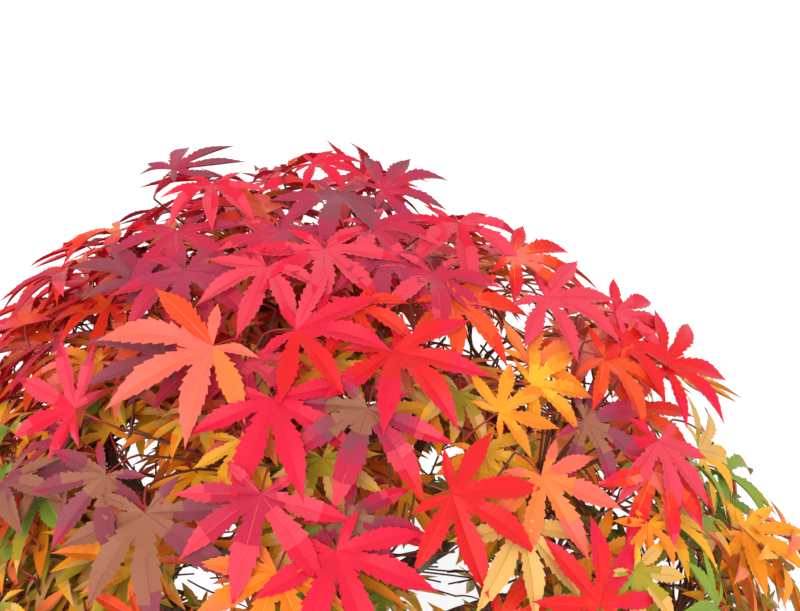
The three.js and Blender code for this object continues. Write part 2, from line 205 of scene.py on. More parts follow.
# Leaves that show between those, further in. Their gold and amber tints are set a step paler than the
# leaves' own, as painted light that offsets the shade inside the crown.
LEAVES_BETWEEN = [
    (681, 548, 80, 0.80, "gold", "straw"),
    (612, 528, 60, 0.75, "gold", "olive"),
    (590, 556, 30, 0.85, "tangerine", "amber"),
    (600, 470, 60, 0.80, "gold", "amber"),
    (568, 452, 120, 0.80, "amber", "gold"),
    (505, 470, 110, 0.80, "amber", "gold"),
    (487, 548, 100, 0.85, "gold", "straw"),
    (481, 450, 60, 0.85, "tangerine", "gold"),
    (459, 392, 100, 0.75, "gold", "olive"),
    (330, 362, 90, 0.80, "amber", "gold"),
    (398, 432, 60, 1.00, "olive", "leaf_green"),
    (385, 478, 100, 0.85, "leaf_green", "leaf_green"),
    (322, 458, 70, 0.80, "gold", "olive"),
    (160, 446, 95, 0.75, "olive", "leaf_green"),
    (250, 545, 150, 0.95, "leaf_green", "leaf_green"),
    (302, 532, 80, 0.80, "gold", "olive"),
    # Painted shade: this leaf's dark plum and umber are its look in the shade it lies in
    (200, 458, 140, 0.85, "plum", "umber"),
    (240, 440, 60, 0.80, "amber", "gold"),
    (180, 555, 80, 0.80, "tangerine", "amber"),
    (560, 340, 60, 0.80, "tangerine", "amber"),
]

# Gaps where the picture shows the sky through the crown: pixels across and down, and reach
SKY_GAPS = [
    (120, 458, 12),
    (192, 578, 7),
    (233, 600, 5),
    (221, 530, 3),
    (421, 552, 14),
    (451, 587, 9),
    (506, 575, 7),
    (428, 460, 4),
    (487, 340, 9),
    (516, 320, 3),
    (430, 330, 3),
    (591, 384, 4),
    (562, 386, 3),
    (534, 418, 3),
    (660, 390, 4),
    (559, 539, 5),
    (590, 494, 5),
    (624, 502, 5),
    (660, 568, 7),
]

# The crown's outline in the picture, pixels across and down, carried on past the picture's cut sides
OUTLINE = [
    (-200, 480),
    (0, 290),
    (60, 222),
    (100, 192),
    (190, 150),
    (380, 150),
    (455, 188),
    (545, 234),
    (580, 272),
    (650, 312),
    (705, 343),
    (760, 400),
    (900, 560),
]


def size(name, description, default):
    """A length in metres."""
    return FloatProperty(
        name=name, description=description, default=default, unit="LENGTH", min=0.0, precision=4
    )


def share(name, description, default):
    """A share of something else."""
    return FloatProperty(
        name=name, description=description, default=default, subtype="FACTOR", min=0.0, soft_max=2.0
    )


def amount(name, description, default, unit="NONE"):
    """A plain number, such as a strength or an angle in degrees."""
    return FloatProperty(name=name, description=description, default=default, unit=unit, min=0.0)


def number(name, description, default):
    """How many of something there are, or the seed of its random draws."""
    return IntProperty(name=name, description=description, default=default, min=0)


def position(name, description, default):
    """A point in space."""
    return FloatVectorProperty(
        name=name, description=description, default=default, subtype="TRANSLATION", unit="LENGTH"
    )


def colour(name, description, default):
    """A colour as it looks on a screen."""
    return FloatVectorProperty(
        name=name, description=description, default=default, subtype="COLOR_GAMMA", min=0.0, max=1.0
    )


class MaplePot(PropertyGroup):
    length: size("Length", "Length of the oval pot over its lip", 0.330)
    width: size("Width", "Width of the oval pot over its lip", 0.244)
    height: size("Height", "Height of the pot", 0.066)
    foot_share: share("Foot share", "Length of the foot as a share of the pot's", 0.8)
    belly_height: size("Belly height", "Height where the wall steepens", 0.022)
    belly_share: share("Belly share", "How far the belly stands out from foot to brim", 0.6)
    wall: size("Wall", "Thickness of the wall", 0.010)
    floor: size("Floor", "Thickness of the floor", 0.010)
    cove: size("Cove", "Corner between the floor and the wall inside", 0.005)
    lip_out: size("Lip out", "How far the lip stands out", 0.007)
    lip_height: size("Lip height", "Height of the lip", 0.010)
    rounding: size("Rounding", "Radius of the pot's edges", 0.0025)
    drain_radius: size("Drain radius", "Radius of the drain holes", 0.009)
    drain_spacing: size("Drain spacing", "Distance between the drain holes", 0.130)
    sides: number("Sides", "Faces round the pot", 144)
    bore_sides: number("Bore sides", "Faces round a drain hole", 48)
    clay: colour("Clay", "Colour of the fired clay", (0.36, 0.29, 0.25))
    clay_dark: colour("Dark clay", "Colour of the clay where the fire marked it", (0.25, 0.19, 0.16))


class MapleSoil(PropertyGroup):
    ground: size("Ground", "Height of the soil at the trunk", 0.064)
    edge: size("Edge", "Height of the soil at the wall", 0.057)
    flat_radius: size("Flat radius", "Half length of the level part of the mound", 0.070)
    slope_radius: size("Slope radius", "Half length of the mound's shoulder", 0.098)
    slope_share: share("Slope share", "Height of the shoulder between edge and ground", 0.6)
    grain: size("Grain", "Radius of a granule", 0.0021)
    grain_spacing: size("Grain spacing", "Least distance between granules", 0.0036)
    grain_least: share("Least grain", "Smallest granule as a share of that radius", 0.55)
    grain_most: share("Most grain", "Largest granule as a share of that radius", 1.2)
    grain_shapes: number("Grain shapes", "Different shapes of granules", 5)
    sides: number("Sides", "Faces round the mound", 96)
    rings: number("Rings", "Rings of faces on each slope of the mound", 8)
    seed: number("Seed", "Seed of the granules' places", 5)
    earth: colour("Earth", "Colour of the granules", (0.44, 0.33, 0.24))
    earth_dark: colour("Dark earth", "Colour of the wetter granules", (0.24, 0.17, 0.12))


class MapleLimbs(PropertyGroup):
    foot_radius: size("Foot radius", "Radius of the trunk at the ground", 0.025)
    tip_radius: size("Tip radius", "Radius of the trunk at its tip", 0.0042)
    taper: amount("Taper", "How evenly trunk and boughs taper, 1 being straight", 0.8)
    flare: size("Flare", "How far the root flare stands out", 0.017)
    flare_height: size("Flare height", "Height over which the root flare fades", 0.015)
    bough_foot: size("Bough foot", "Radius of a bough where it leaves the trunk", 0.0086)
    side_bough_foot: size("Side bough foot", "Radius of a bough where it leaves another bough", 0.0056)
    bough_tip: size("Bough tip", "Radius of a bough at its tip", 0.0034)
    bough_rise: share("Bough rise", "How far a bough follows its parent at first", 0.42)
    foot_pull: share("Foot pull", "Reach of a bough's first bend", 0.42)
    tip_pull: share("Tip pull", "Reach of a bough's last bend", 0.36)
    collar: size("Collar", "How far the bark swells where a bough leaves", 0.0022)
    relief: size("Relief", "Depth of the bark's relief", 0.0017)
    trunk_sides: number("Trunk sides", "Faces round the trunk", 72)
    trunk_rings: number("Trunk rings", "Rings of faces along the trunk", 210)
    bough_sides: number("Bough sides", "Faces round a bough", 28)
    bough_rings: number("Bough rings", "Rings of faces along a bough", 70)
    bark: colour("Bark", "Colour of the bark", (0.52, 0.46, 0.40))
    bark_dark: colour("Dark bark", "Colour in the furrows of the bark", (0.26, 0.21, 0.17))
    bark_pale: colour("Pale bark", "Colour of the ridges of the bark", (0.68, 0.63, 0.56))
    bark_moss: colour("Weathered bark", "Colour of the weathered film on the bark", (0.47, 0.48, 0.38))


class MapleCrown(PropertyGroup):
    centre: position("Centre", "Centre of the crown", (-0.010, 0.0, 0.238))
    right: size("Right", "Reach to the right", 0.252)
    left: size("Left", "Reach to the left", 0.190)
    back: size("Back", "Reach to the back", 0.196)
    front: size("Front", "Reach to the front", 0.204)
    up: size("Up", "Reach upwards", 0.250)
    down: size("Down", "Reach downwards", 0.070)
    lowest: amount("Lowest", "Angle from the top, in degrees, of the lowest leaves", 107.0)
    edge: share("Edge", "How far out a leaf's tip may reach, as a share of the crown", 1.09)
    bulge: share("Bulge", "How far each mass stands out from the crown", 0.3)
    hollow: share("Hollow", "Share of the crown inside which the boughs are bare", 0.5)
    seed: number("Seed", "Seed of the twigs and sprays", 11)


class MapleTwigs(PropertyGroup):
    count: number("Count", "Twigs in the whole crown", 62)
    share: share("Share", "How far out the twigs end, as a share of the crown", 0.76)
    stem: size("Stem", "Length of the stem of each mass", 0.024)
    stem_radius: size("Stem radius", "Radius of the stem at its foot", 0.0034)
    foot_radius: size("Foot radius", "Radius of a twig at its foot", 0.0018)
    tip_radius: size("Tip radius", "Radius of a twig at its tip", 0.0008)
    shoot_radius: size("Shoot radius", "Radius of a shoot at its foot", 0.0007)
    bud_radius: size("Bud radius", "Radius of a shoot at its tip", 0.0005)
    bend: share("Bend", "How far the twigs bow", 0.4)
    gather: share("Gather", "How far the twigs lean to the middle of their mass", 0.1)
    along: share("Along", "Share of the stem that the twigs leave from", 0.6)
    first_root: share("First root", "Share of a twig before its first shoot", 0.3)
    spacing: size("Spacing", "Distance between the shoots of a twig", 0.007)
    kink: size("Kink", "How crooked the twigs are", 0.0018)
    sides: number("Sides", "Faces round a twig", 5)
    stem_steps: number("Stem steps", "Rings of faces along a stem", 4)
    twig_steps: number("Twig steps", "Rings of faces along a twig", 12)
    shoot_steps: number("Shoot steps", "Rings of faces along a shoot", 6)
    twig_bark: colour("Twig bark", "Colour of the twigs", (0.42, 0.31, 0.25))
    shoot_bark: colour("Shoot bark", "Colour of the young shoots", (0.42, 0.20, 0.14))


class MapleLeaves(PropertyGroup):
    length: size("Length", "Length of a leaf's middle lobe", 0.038)
    least: share("Least", "Smallest leaf as a share of that", 0.86)
    most: share("Most", "Largest leaf as a share of that", 1.14)
    outer: number("Outer sprays", "Sprays on the crown's surface", 310)
    inner: number("Inner sprays", "Sprays inside the crown", 860)
    fullness: amount("Fullness", "Leaves of an outer spray at the top of the crown", 2.4)
    openness: amount("Openness", "How many leaves fewer an outer spray has low on the crown", 1.3)
    settle: share("Settle", "How much lower the leaves lie on the right flank", 0.20)
    inner_size: share("Inner size", "Size of a leaf inside the crown, as a share of an outer one", 0.8)
    shapes: number("Shapes", "Different leaf shapes", 8)
    plain_shapes: number("Plain shapes", "Different shapes, without teeth, of the leaves inside", 4)
    lobe_width: share("Lobe width", "Half width of a lobe as a share of its length", 0.116)
    tooth: share("Tooth", "Size of the teeth as a share of the middle lobe", 0.024)
    rib: share("Rib", "Half width of a rib as a share of the middle lobe", 0.006)
    stalk: size("Stalk", "Length of a leaf's stalk", 0.019)
    stalk_radius: size("Stalk radius", "Radius of a leaf's stalk", 0.0005)
    stalk_sides: number("Stalk sides", "Faces round a stalk", 3)
    stalk_steps: number("Stalk steps", "Rings of faces along a stalk", 4)
    downhill: share("Downhill", "How strongly the leaves hang down the crown's side", 1.2)
    towards_light: share("Towards light", "How strongly the leaves face upwards", 0.35)
    towards_view: share("Towards view", "How strongly the leaves in front face the camera", 0.28)
    between: share("Between", "How far out the leaves between those in front are", 0.89)
    clearing: share("Clearing", "Clear reach round a leaf in front, as a share of its length", 0.5)
    tilt: share("Tilt", "How unevenly the leaves are turned", 0.8)
    stalk_red: colour("Stalk red", "Colour of the stalks", (0.66, 0.14, 0.16))


class MapleStage(PropertyGroup):
    target: position("Target", "What the camera looks at", (0.037, 0.0, 0.415))
    elevation: amount("Elevation", "Camera's angle above the horizon, in degrees", 12.0)
    distance: size("Distance", "Camera's distance from its target", 0.95)
    lens: amount("Lens", "Focal length in millimetres", 93.0, unit="CAMERA")
    floor_radius: size("Floor radius", "Half width of the floor", 12.0)
    wall_height: size("Wall height", "Height of the backdrop", 2.0)
    floor_grey: share("Floor grey", "How pale the floor is", 0.96)
    floor_sides: number("Floor sides", "Faces round the floor", 64)
    sky: amount("Sky", "Strength of the even light from all round", 0.86)
    key: amount("Key", "Strength of the soft light from the front", 1.78)
    rim: amount("Rim", "Strength of the soft light from behind", 0.5)


GROUPS = {
    "maple_pot": MaplePot,
    "maple_soil": MapleSoil,
    "maple_limbs": MapleLimbs,
    "maple_crown": MapleCrown,
    "maple_twigs": MapleTwigs,
    "maple_leaves": MapleLeaves,
    "maple_stage": MapleStage,
}


def settings(name):
    """The settings of a group, such as "pot"."""
    return getattr(bpy.context.scene, "maple_" + name)


def seeded(seed):
    """A function that draws numbers from 0 to 1: the same on every run, and the same as the solids use."""
    state = seed & 0xFFFFFFFF

    def draw():
        nonlocal state
        state = (state + 0x6D2B79F5) & 0xFFFFFFFF
        t = ((state ^ (state >> 15)) * (1 | state)) & 0xFFFFFFFF
        t = ((t + (((t ^ (t >> 7)) * (61 | t)) & 0xFFFFFFFF)) & 0xFFFFFFFF) ^ t
        return ((t ^ (t >> 14)) & 0xFFFFFFFF) / 4294967296

    return draw


def mix(a, b, t):
    return a + (b - a) * t


def unit(v):
    return v / np.linalg.norm(v)


def linear(gamma_colour):
    """The shader's colour for a colour as it looks on a screen."""
    return [c / 12.92 if c <= 0.04045 else ((c + 0.055) / 1.055) ** 2.4 for c in gamma_colour] + [1.0]


# The crown's shape


def heading(turn, from_top):
    """The direction at a turn from the right and an angle from the top, both in degrees."""
    turn, from_top = math.radians(turn), math.radians(from_top)
    level = math.sin(from_top)
    return np.array([level * math.cos(turn), level * math.sin(turn), math.cos(from_top)])


HEADINGS = np.array([heading(turn, from_top) for _, turn, from_top, _ in MASSES])


def owner_of(direction):
    """The number of the mass that a direction from the crown's centre belongs to."""
    return int(np.argmax(HEADINGS @ direction))


def swell(direction):
    """How far the crown's surface stands out along a direction: most at the middle of each mass."""
    return 1 - settings("crown").bulge * (1 - float(np.max(HEADINGS @ direction)))


def reach_towards(v):
    """How far the crown reaches along each axis, on the side that v points to."""
    crown = settings("crown")
    both_ways = ((crown.left, crown.right), (crown.front, crown.back), (crown.down, crown.up))
    return np.array([ahead if part > 0 else behind for part, (behind, ahead) in zip(v, both_ways)])


def in_crown(direction, out):
    """The point along a direction, at a share of the way from the crown's centre to its surface."""
    v = direction * out * swell(direction)
    return v * reach_towards(v) + np.array(settings("crown").centre)


def out_at(point):
    """The direction of a point from the crown's centre, and its share of the way to the surface."""
    v = np.array(point) - np.array(settings("crown").centre)
    v = v / reach_towards(v)
    direction = unit(v)
    return direction, float(np.linalg.norm(v)) / swell(direction)


class PictureView:
    """The camera's place and axes, and the line of sight through a pixel of the picture."""

    def __init__(self):
        stage = settings("stage")
        turn = math.radians(stage.elevation)
        self.right = np.array([1.0, 0.0, 0.0])
        self.up = np.array([0.0, math.sin(turn), math.cos(turn)])
        self.back = np.array([0.0, -math.cos(turn), math.sin(turn)])
        self.eye = np.array(stage.target) + self.back * stage.distance
        self.focus = PICTURE[0] * stage.lens / SENSOR

    def sight(self, across, down):
        """The direction of the line of sight through a pixel."""
        off = self.right * (across - PICTURE[0] / 2) - self.up * (down - PICTURE[1] / 2)
        return unit(off - self.back * self.focus)

    def pixel(self, point):
        """The pixel that shows a point, and how far the point is from the camera."""
        v = np.array(point) - self.eye
        depth = -float(v @ self.back)
        off = np.array([v @ self.right, -(v @ self.up)]) * self.focus / depth
        return off + np.array(PICTURE) / 2, depth

    def on_crown(self, across, down, out):
        """The nearest point of a line of sight at a share of the crown's reach, or else its closest one."""
        ray, distance = self.sight(across, down), settings("stage").distance
        steps = [self.eye + ray * (distance + k * SIGHT_STEP) for k in SIGHT_STEPS]
        shares = [out_at(p)[1] for p in steps]
        inside = [k for k, share_of_reach in enumerate(shares) if share_of_reach <= out]
        return steps[inside[0] if inside else int(np.argmin(shares))]


def outwards(direction):
    """The way straight out of the crown along a direction from its centre."""
    return unit(in_crown(direction, 1) - in_crown(direction, 0.5))


def spiral(count, loose_turn, draw):
    """Directions spread evenly over the crown, in a spiral from its top."""
    lowest = math.cos(math.radians(settings("crown").lowest))
    directions = []
    for k in range(count):
        from_top = math.degrees(math.acos(mix(1, lowest, (k + 0.5) / count)))
        directions.append(heading(k * GOLDEN_TURN + (draw() - 0.5) * loose_turn, from_top))
    return directions


# Curves


class Path:
    """A curve through space that can be read at shares of its length."""

    def __init__(self, point, samples=400):
        self.point = point
        steps = np.linspace(0, 1, samples + 1)
        places = np.array([point(t) for t in steps])
        lengths = np.concatenate([[0], np.cumsum(np.linalg.norm(np.diff(places, axis=0), axis=1))])
        self.length = lengths[-1]
        self.steps, self.shares = steps, lengths / self.length

    def at(self, along):
        return self.point(float(np.interp(along, self.shares, self.steps)))

    def tangent(self, along):
        near = 1e-4
        return unit(self.at(min(1.0, along + near)) - self.at(max(0.0, along - near)))


def cubic(a, b, c, d):
    return lambda t: a * (1 - t) ** 3 + b * 3 * t * (1 - t) ** 2 + c * 3 * t * t * (1 - t) + d * t**3


def quadratic(a, b, c):
    return lambda t: a * (1 - t) ** 2 + b * 2 * t * (1 - t) + c * t * t


def smooth_through(places):
    """A curve through places that doesn't overshoot where they lie close together."""
    places = [np.array(p, float) for p in places]
    places = [2 * places[0] - places[1], *places, 2 * places[-1] - places[-2]]
    spans = len(places) - 3

    def point(t):
        span = min(int(t * spans), spans - 1)
        w = t * spans - span
        p0, p1, p2, p3 = places[span : span + 4]
        d0, d1, d2 = (math.sqrt(np.linalg.norm(b - a)) for a, b in ((p0, p1), (p1, p2), (p2, p3)))
        m1 = ((p1 - p0) / d0 - (p2 - p0) / (d0 + d1) + (p2 - p1) / d1) * d1
        m2 = ((p2 - p1) / d1 - (p3 - p1) / (d1 + d2) + (p3 - p2) / d2) * d1
        return p1 + m1 * w + (3 * (p2 - p1) - 2 * m1 - m2) * w**2 + (2 * (p1 - p2) + m1 + m2) * w**3

    return point


def trunk_path():
    ground = settings("soil").ground + GAP
    bends = [(x, y, ground + up) for up, x, y in TRUNK_BENDS]
    top = in_crown(UP, settings("crown").hollow) - UP * GAP
    return Path(smooth_through([*bends, top]))


def share_at_height(path, height):
    """The share of a rising path's length at a height above the ground."""
    found, step = 0.0, 0.5
    while step > 1e-6:
        if path.at(found + step)[2] < settings("soil").ground + GAP + height:
            found += step
        step /= 2
    return found


def limb_paths():
    """The trunk's path and each bough's, by the name of its mass."""
    limbs = settings("limbs")
    paths = {"trunk": trunk_path()}
    for (name, _, _, leaves_at), toward in zip(MASSES, HEADINGS):
        if leaves_at is None:
            continue
        parent, along = ("trunk", None) if isinstance(leaves_at, float) else leaves_at
        parent = paths[parent]
        if along is None:
            along = share_at_height(parent, leaves_at)
        end, out = in_crown(toward, settings("crown").hollow), outwards(toward)
        start = parent.at(along)
        reach = np.linalg.norm(end - start)
        level = (end - start) * np.array([1, 1, 0])
        first = unit(unit(level) + parent.tangent(along) * limbs.bough_rise)
        bend = start + first * reach * limbs.foot_pull
        paths[name] = Path(cubic(start, bend, end - out * reach * limbs.tip_pull, end - out * GAP))
    return paths


# Meshes


def finished(obj, node_names):
    """Seats a finished piece in the frame in place of the solids that it stands for."""
    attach(obj, "root")
    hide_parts(*node_names)


def new_object(name, vertices, faces, edges=()):
    mesh = bpy.data.meshes.new(name)
    mesh.from_pydata([tuple(v) for v in vertices], list(edges), [tuple(f) for f in faces])
    mesh.validate()
    obj = bpy.data.objects.new(name, mesh)
    bpy.context.scene.collection.objects.link(obj)
    return obj


def shade_smooth(obj, sharp_angle=None):
    """Smooths the shading of obj, but for edges sharper than an angle in degrees."""
    obj.data.polygons.foreach_set("use_smooth", [True] * len(obj.data.polygons))
    if sharp_angle is not None:
        obj.data.set_sharp_from_angle(angle=math.radians(sharp_angle))


@contextmanager
def faces_of(obj):
    """The faces of obj for work on them, which are written back when it is done."""
    work = bmesh.new()
    work.from_mesh(obj.data)
    yield work
    work.to_mesh(obj.data)
    work.free()


def face_outwards(obj):
    """Merges double points and turns all faces outwards."""
    with faces_of(obj) as work:
        bmesh.ops.remove_doubles(work, verts=work.verts, dist=1e-6)
        bmesh.ops.recalc_face_normals(work, faces=work.faces)


def as_plain_mesh(obj, name):
    """A new object with what obj's modifiers make of it. obj itself is removed."""
    graph = bpy.context.evaluated_depsgraph_get()
    mesh = bpy.data.meshes.new_from_object(obj.evaluated_get(graph), depsgraph=graph)
    mesh.name = name
    bpy.data.objects.remove(obj)
    made = bpy.data.objects.new(name, mesh)
    bpy.context.scene.collection.objects.link(made)
    return made


def rounded(profile, radius, most=0.45, steps=5):
    """A profile with its corners rounded to a radius, or as far as most of a side allows."""
    points = [np.array(p, float) for p in profile]
    out = [points[0]]
    for before, corner, after in zip(points, points[1:], points[2:]):
        room = min(np.linalg.norm(corner - before), np.linalg.norm(after - corner)) * most
        reach = min(radius, room)
        start, end = (corner + unit(beside - corner) * reach for beside in (before, after))
        arc = quadratic(start, corner, end)
        out += [arc(k / steps) for k in range(steps + 1)]
    return [*out, points[-1]]


def turned_oval(name, profile, sides, flattening):
    """The surface of a profile of half lengths and heights, turned to an oval. Its ends are on the axis."""
    vertices = [(0, 0, profile[0][1])]
    for r, z in profile[1:-1]:
        for s in range(sides):
            turn = 2 * math.pi * s / sides
            vertices.append((r * math.cos(turn), r * math.sin(turn) * flattening, z))
    vertices.append((0, 0, profile[-1][1]))
    last, rings = len(vertices) - 1, len(profile) - 2
    faces = []
    for s in range(sides):
        n = (s + 1) % sides
        faces.append((0, 1 + n, 1 + s))
        for r in range(rings - 1):
            a, b = 1 + r * sides, 1 + (r + 1) * sides
            faces.append((a + s, a + n, b + n, b + s))
        top = 1 + (rings - 1) * sides
        faces.append((top + s, top + n, last))
    return new_object(name, vertices, faces)


def transported_frames(path, steps):
    """Two directions across a path at each step, carried along it without twisting."""
    tangents = [path.tangent(i / steps) for i in range(steps + 1)]
    across = np.zeros(3)
    smallest = np.abs(tangents[0]).min()
    across[max(i for i in range(3) if abs(tangents[0][i]) <= smallest)] = 1
    normal = np.cross(tangents[0], unit(np.cross(tangents[0], across)))
    normals = [normal]
    for before, after in zip(tangents, tangents[1:]):
        axis = np.cross(before, after)
        if np.linalg.norm(axis) > 1e-9:
            angle = math.acos(max(-1.0, min(1.0, float(before @ after))))
            normal = np.array(Quaternion(unit(axis), angle) @ Vector(normal))
        normals.append(normal)
    return [(n, np.cross(t, n)) for t, n in zip(tangents, normals)]


def limb_rings(path, radius_at, relief_at, sides, steps):
    """Rings of points round a limb. radius_at takes the share along it and the turn round it, relief_at a
    point and the radius there."""
    rings = []
    for i, (normal, binormal) in enumerate(transported_frames(path, steps)):
        middle = path.at(i / steps)
        ring = []
        for s in range(sides):
            turn = 2 * math.pi * s / sides
            out = normal * math.cos(turn) + binormal * math.sin(turn)
            r = radius_at(i / steps, turn)
            ring.append(middle + out * (r + relief_at(middle + out * r, r)))
        rings.append(ring)
    return rings


def rings_to_faces(rings, first=0):
    """Faces of the closed skin over rings whose points are numbered from first on."""
    sides = len(rings[0])
    faces = []
    for r in range(len(rings) - 1):
        for s in range(sides):
            a, b = first + r * sides, first + (r + 1) * sides
            n = (s + 1) % sides
            faces.append((a + s, a + n, b + n, b + s))
    last = first + (len(rings) - 1) * sides
    faces.append(tuple(first + s for s in reversed(range(sides))))
    faces.append(tuple(last + s for s in range(sides)))
    return faces


# Materials


class Nodes:
    """Builds one node tree in short lines."""

    def __init__(self, tree):
        self.tree = tree

    def add(self, kind, inputs=None, **settings_of_node):
        node = self.tree.nodes.new(kind)
        for key, value in settings_of_node.items():
            setattr(node, key, value)
        for key, value in (inputs or {}).items():
            self.feed(node.inputs[key], value)
        return node

    def feed(self, socket, value):
        if isinstance(value, bpy.types.NodeSocket):
            self.tree.links.new(value, socket)
        elif isinstance(value, bpy.types.Node):
            self.tree.links.new(value.outputs[0], socket)
        else:
            socket.default_value = value


def new_material(name):
    """An empty material, its builder and its surface shader."""
    material = bpy.data.materials.new(name)
    material.use_nodes = True
    nodes = Nodes(material.node_tree)
    shader = material.node_tree.nodes["Principled BSDF"]
    return material, nodes, shader


def plain_material(name, tint, roughness):
    """A material of one plain colour, its builder and its surface shader."""
    material, nodes, shader = new_material(name)
    shader.inputs["Base Color"].default_value = linear(tint)
    shader.inputs["Roughness"].default_value = roughness
    return material, nodes, shader


def object_pattern(nodes, stretch=(1, 1, 1)):
    """Places on the object, for a pattern that is finer along an axis the more it is stretched."""
    place = nodes.add("ShaderNodeTexCoord").outputs["Object"]
    return nodes.add("ShaderNodeMapping", {"Vector": place, "Scale": stretch}).outputs[0]


def cloud(nodes, place, scale, detail, roughness=0.5):
    """A soft random pattern."""
    values = {"Vector": place, "Scale": scale, "Detail": detail, "Roughness": roughness}
    return nodes.add("ShaderNodeTexNoise", values).outputs[0]


def multiply_add(nodes, value, by, plus):
    return nodes.add("ShaderNodeMath", {0: value, 1: by, 2: plus}, operation="MULTIPLY_ADD")


def add_relief(nodes, shader, height, strength, depth):
    """Lets a surface look as uneven as a pattern is."""
    bump = nodes.add("ShaderNodeBump", {"Strength": strength, "Distance": depth, "Height": height})
    nodes.feed(shader.inputs["Normal"], bump)


def ramp(nodes, factor, stops):
    """The colour at a factor, between stops of a place and a colour each."""
    node = nodes.add("ShaderNodeValToRGB", {"Fac": factor})
    while len(node.color_ramp.elements) < len(stops):
        node.color_ramp.elements.new(0.5)
    for element, (place, colour_at) in zip(node.color_ramp.elements, stops):
        element.position = place
        element.color = colour_at
    return node.outputs["Color"]


def clay_material():
    """Fired clay, darker in patches, with fine specks and the traces of turning."""
    pot = settings("pot")
    material, nodes, shader = new_material("fired_clay")
    place = object_pattern(nodes)
    smoke = cloud(nodes, place, scale=14.0, detail=6.0, roughness=0.6)
    speck = cloud(nodes, place, scale=900.0, detail=2.0)
    stops = [(0.26, linear(pot.clay_dark)), (0.52, linear(pot.clay))]
    tint = ramp(nodes, multiply_add(nodes, smoke, speck, 0.12), stops)
    nodes.feed(shader.inputs["Base Color"], tint)
    rough = nodes.add("ShaderNodeMapRange", {"Value": speck, "To Min": 0.48, "To Max": 0.72})
    nodes.feed(shader.inputs["Roughness"], rough)
    turning = nodes.add(
        "ShaderNodeTexWave",
        {"Vector": place, "Scale": 160.0, "Distortion": 3.0, "Detail": 2.0},
        bands_direction="Z",
    )
    height = multiply_add(nodes, turning.outputs["Fac"], 0.25, speck)
    add_relief(nodes, shader, height, strength=0.25, depth=0.4 * MM)
    return material


def earth_material(name, bright, dark):
    """Dull earth in patches, dusty close up."""
    material, nodes, shader = new_material(name)
    place = object_pattern(nodes)
    patch = cloud(nodes, place, scale=60.0, detail=4.0)
    dust = cloud(nodes, place, scale=1400.0, detail=3.0)
    both = nodes.add("ShaderNodeMath", {0: patch, 1: dust}, operation="ADD")
    stops = [(0.75, linear(dark)), (1.0, linear(bright))]
    nodes.feed(shader.inputs["Base Color"], ramp(nodes, both, stops))
    shader.inputs["Roughness"].default_value = 0.92
    add_relief(nodes, shader, dust, strength=0.6, depth=0.4 * MM)
    return material


def bark_material():
    """Bark with dark furrows, pale ridges and pores, and a weathered film in patches."""
    limbs = settings("limbs")
    material, nodes, shader = new_material("bark_of_limbs")
    along, even, across = (object_pattern(nodes, (1, 1, stretch)) for stretch in (0.14, 1, 2.4))
    furrow = cloud(nodes, along, scale=125.0, detail=7.0, roughness=0.68)
    patch = cloud(nodes, even, scale=44.0, detail=5.0, roughness=0.62)
    pore = nodes.add("ShaderNodeTexVoronoi", {"Vector": across, "Scale": 260.0})
    stops = [(0.40, linear(limbs.bark_dark)), (0.50, linear(limbs.bark)), (0.62, linear(limbs.bark_pale))]
    ground = ramp(nodes, furrow, stops)
    film = ramp(nodes, patch, [(0.50, (0, 0, 0, 1)), (0.68, (1, 1, 1, 1))])
    both = {0: film, 6: ground, 7: linear(limbs.bark_moss)}
    tint = nodes.add("ShaderNodeMix", both, data_type="RGBA", blend_type="MIX")
    nodes.feed(shader.inputs["Base Color"], tint.outputs[2])
    shader.inputs["Roughness"].default_value = 0.82
    height = multiply_add(nodes, pore.outputs["Distance"], 0.35, furrow)
    add_relief(nodes, shader, height, strength=0.8, depth=1.2 * MM)
    return material


def twig_material(name, tint, roughness):
    """Young bark or a stalk: one plain colour, with fine streaks in its relief."""
    material, nodes, shader = plain_material(name, tint, roughness)
    streak = cloud(nodes, object_pattern(nodes), scale=900.0, detail=3.0)
    add_relief(nodes, shader, streak, strength=0.4, depth=0.3 * MM)
    return material


# Side veins on a lobe's UV map: how close they lie, how far they slant, and how thin they are
VEIN_TURNS = 60.0
VEIN_SLANT = -26.0
VEIN_THINNESS = 8.0


def leaf_material(name, tint):
    """One autumn tint, with the side veins of each lobe in its relief."""
    material, nodes, shader = plain_material("leaf_" + name, tint, roughness=0.5)
    shader.inputs["Specular IOR Level"].default_value = 0.25
    lobe = nodes.add("ShaderNodeSeparateXYZ", {0: nodes.add("ShaderNodeUVMap", uv_map="lobe")})
    slant = multiply_add(nodes, lobe.outputs[0], VEIN_SLANT, 0.0)
    veins = multiply_add(nodes, lobe.outputs[1], VEIN_TURNS, slant)
    wave = nodes.add("ShaderNodeMath", {0: veins}, operation="SINE")
    ridge = nodes.add("ShaderNodeMath", {0: wave, 1: VEIN_THINNESS}, operation="POWER")
    add_relief(nodes, shader, ridge, strength=0.14, depth=0.3 * MM)
    return material


# Node trees that make what repeats or follows a path


def geometry_tree(name, inputs):
    """A Geometry Nodes tree with a mesh coming in and going out, and named inputs."""
    tree = bpy.data.node_groups.new(name, "GeometryNodeTree")
    tree.is_modifier = True
    face = tree.interface
    face.new_socket(name="Geometry", in_out="OUTPUT", socket_type="NodeSocketGeometry")
    face.new_socket(name="Geometry", in_out="INPUT", socket_type="NodeSocketGeometry")
    for label, kind in inputs:
        face.new_socket(name=label, in_out="INPUT", socket_type="NodeSocket" + kind)
    nodes = Nodes(tree)
    return tree, nodes, nodes.add("NodeGroupInput"), nodes.add("NodeGroupOutput")


def apply_tree(obj, name, tree, values):
    """Runs a tree on obj with values for its named inputs, and returns the plain mesh object."""
    modifier = obj.modifiers.new("shape", "NODES")
    modifier.node_group = tree
    sockets = {s.name: s.identifier for s in tree.interface.items_tree if s.in_out == "INPUT"}
    for label, value in values.items():
        modifier[sockets[label]] = value
    return as_plain_mesh(obj, name)


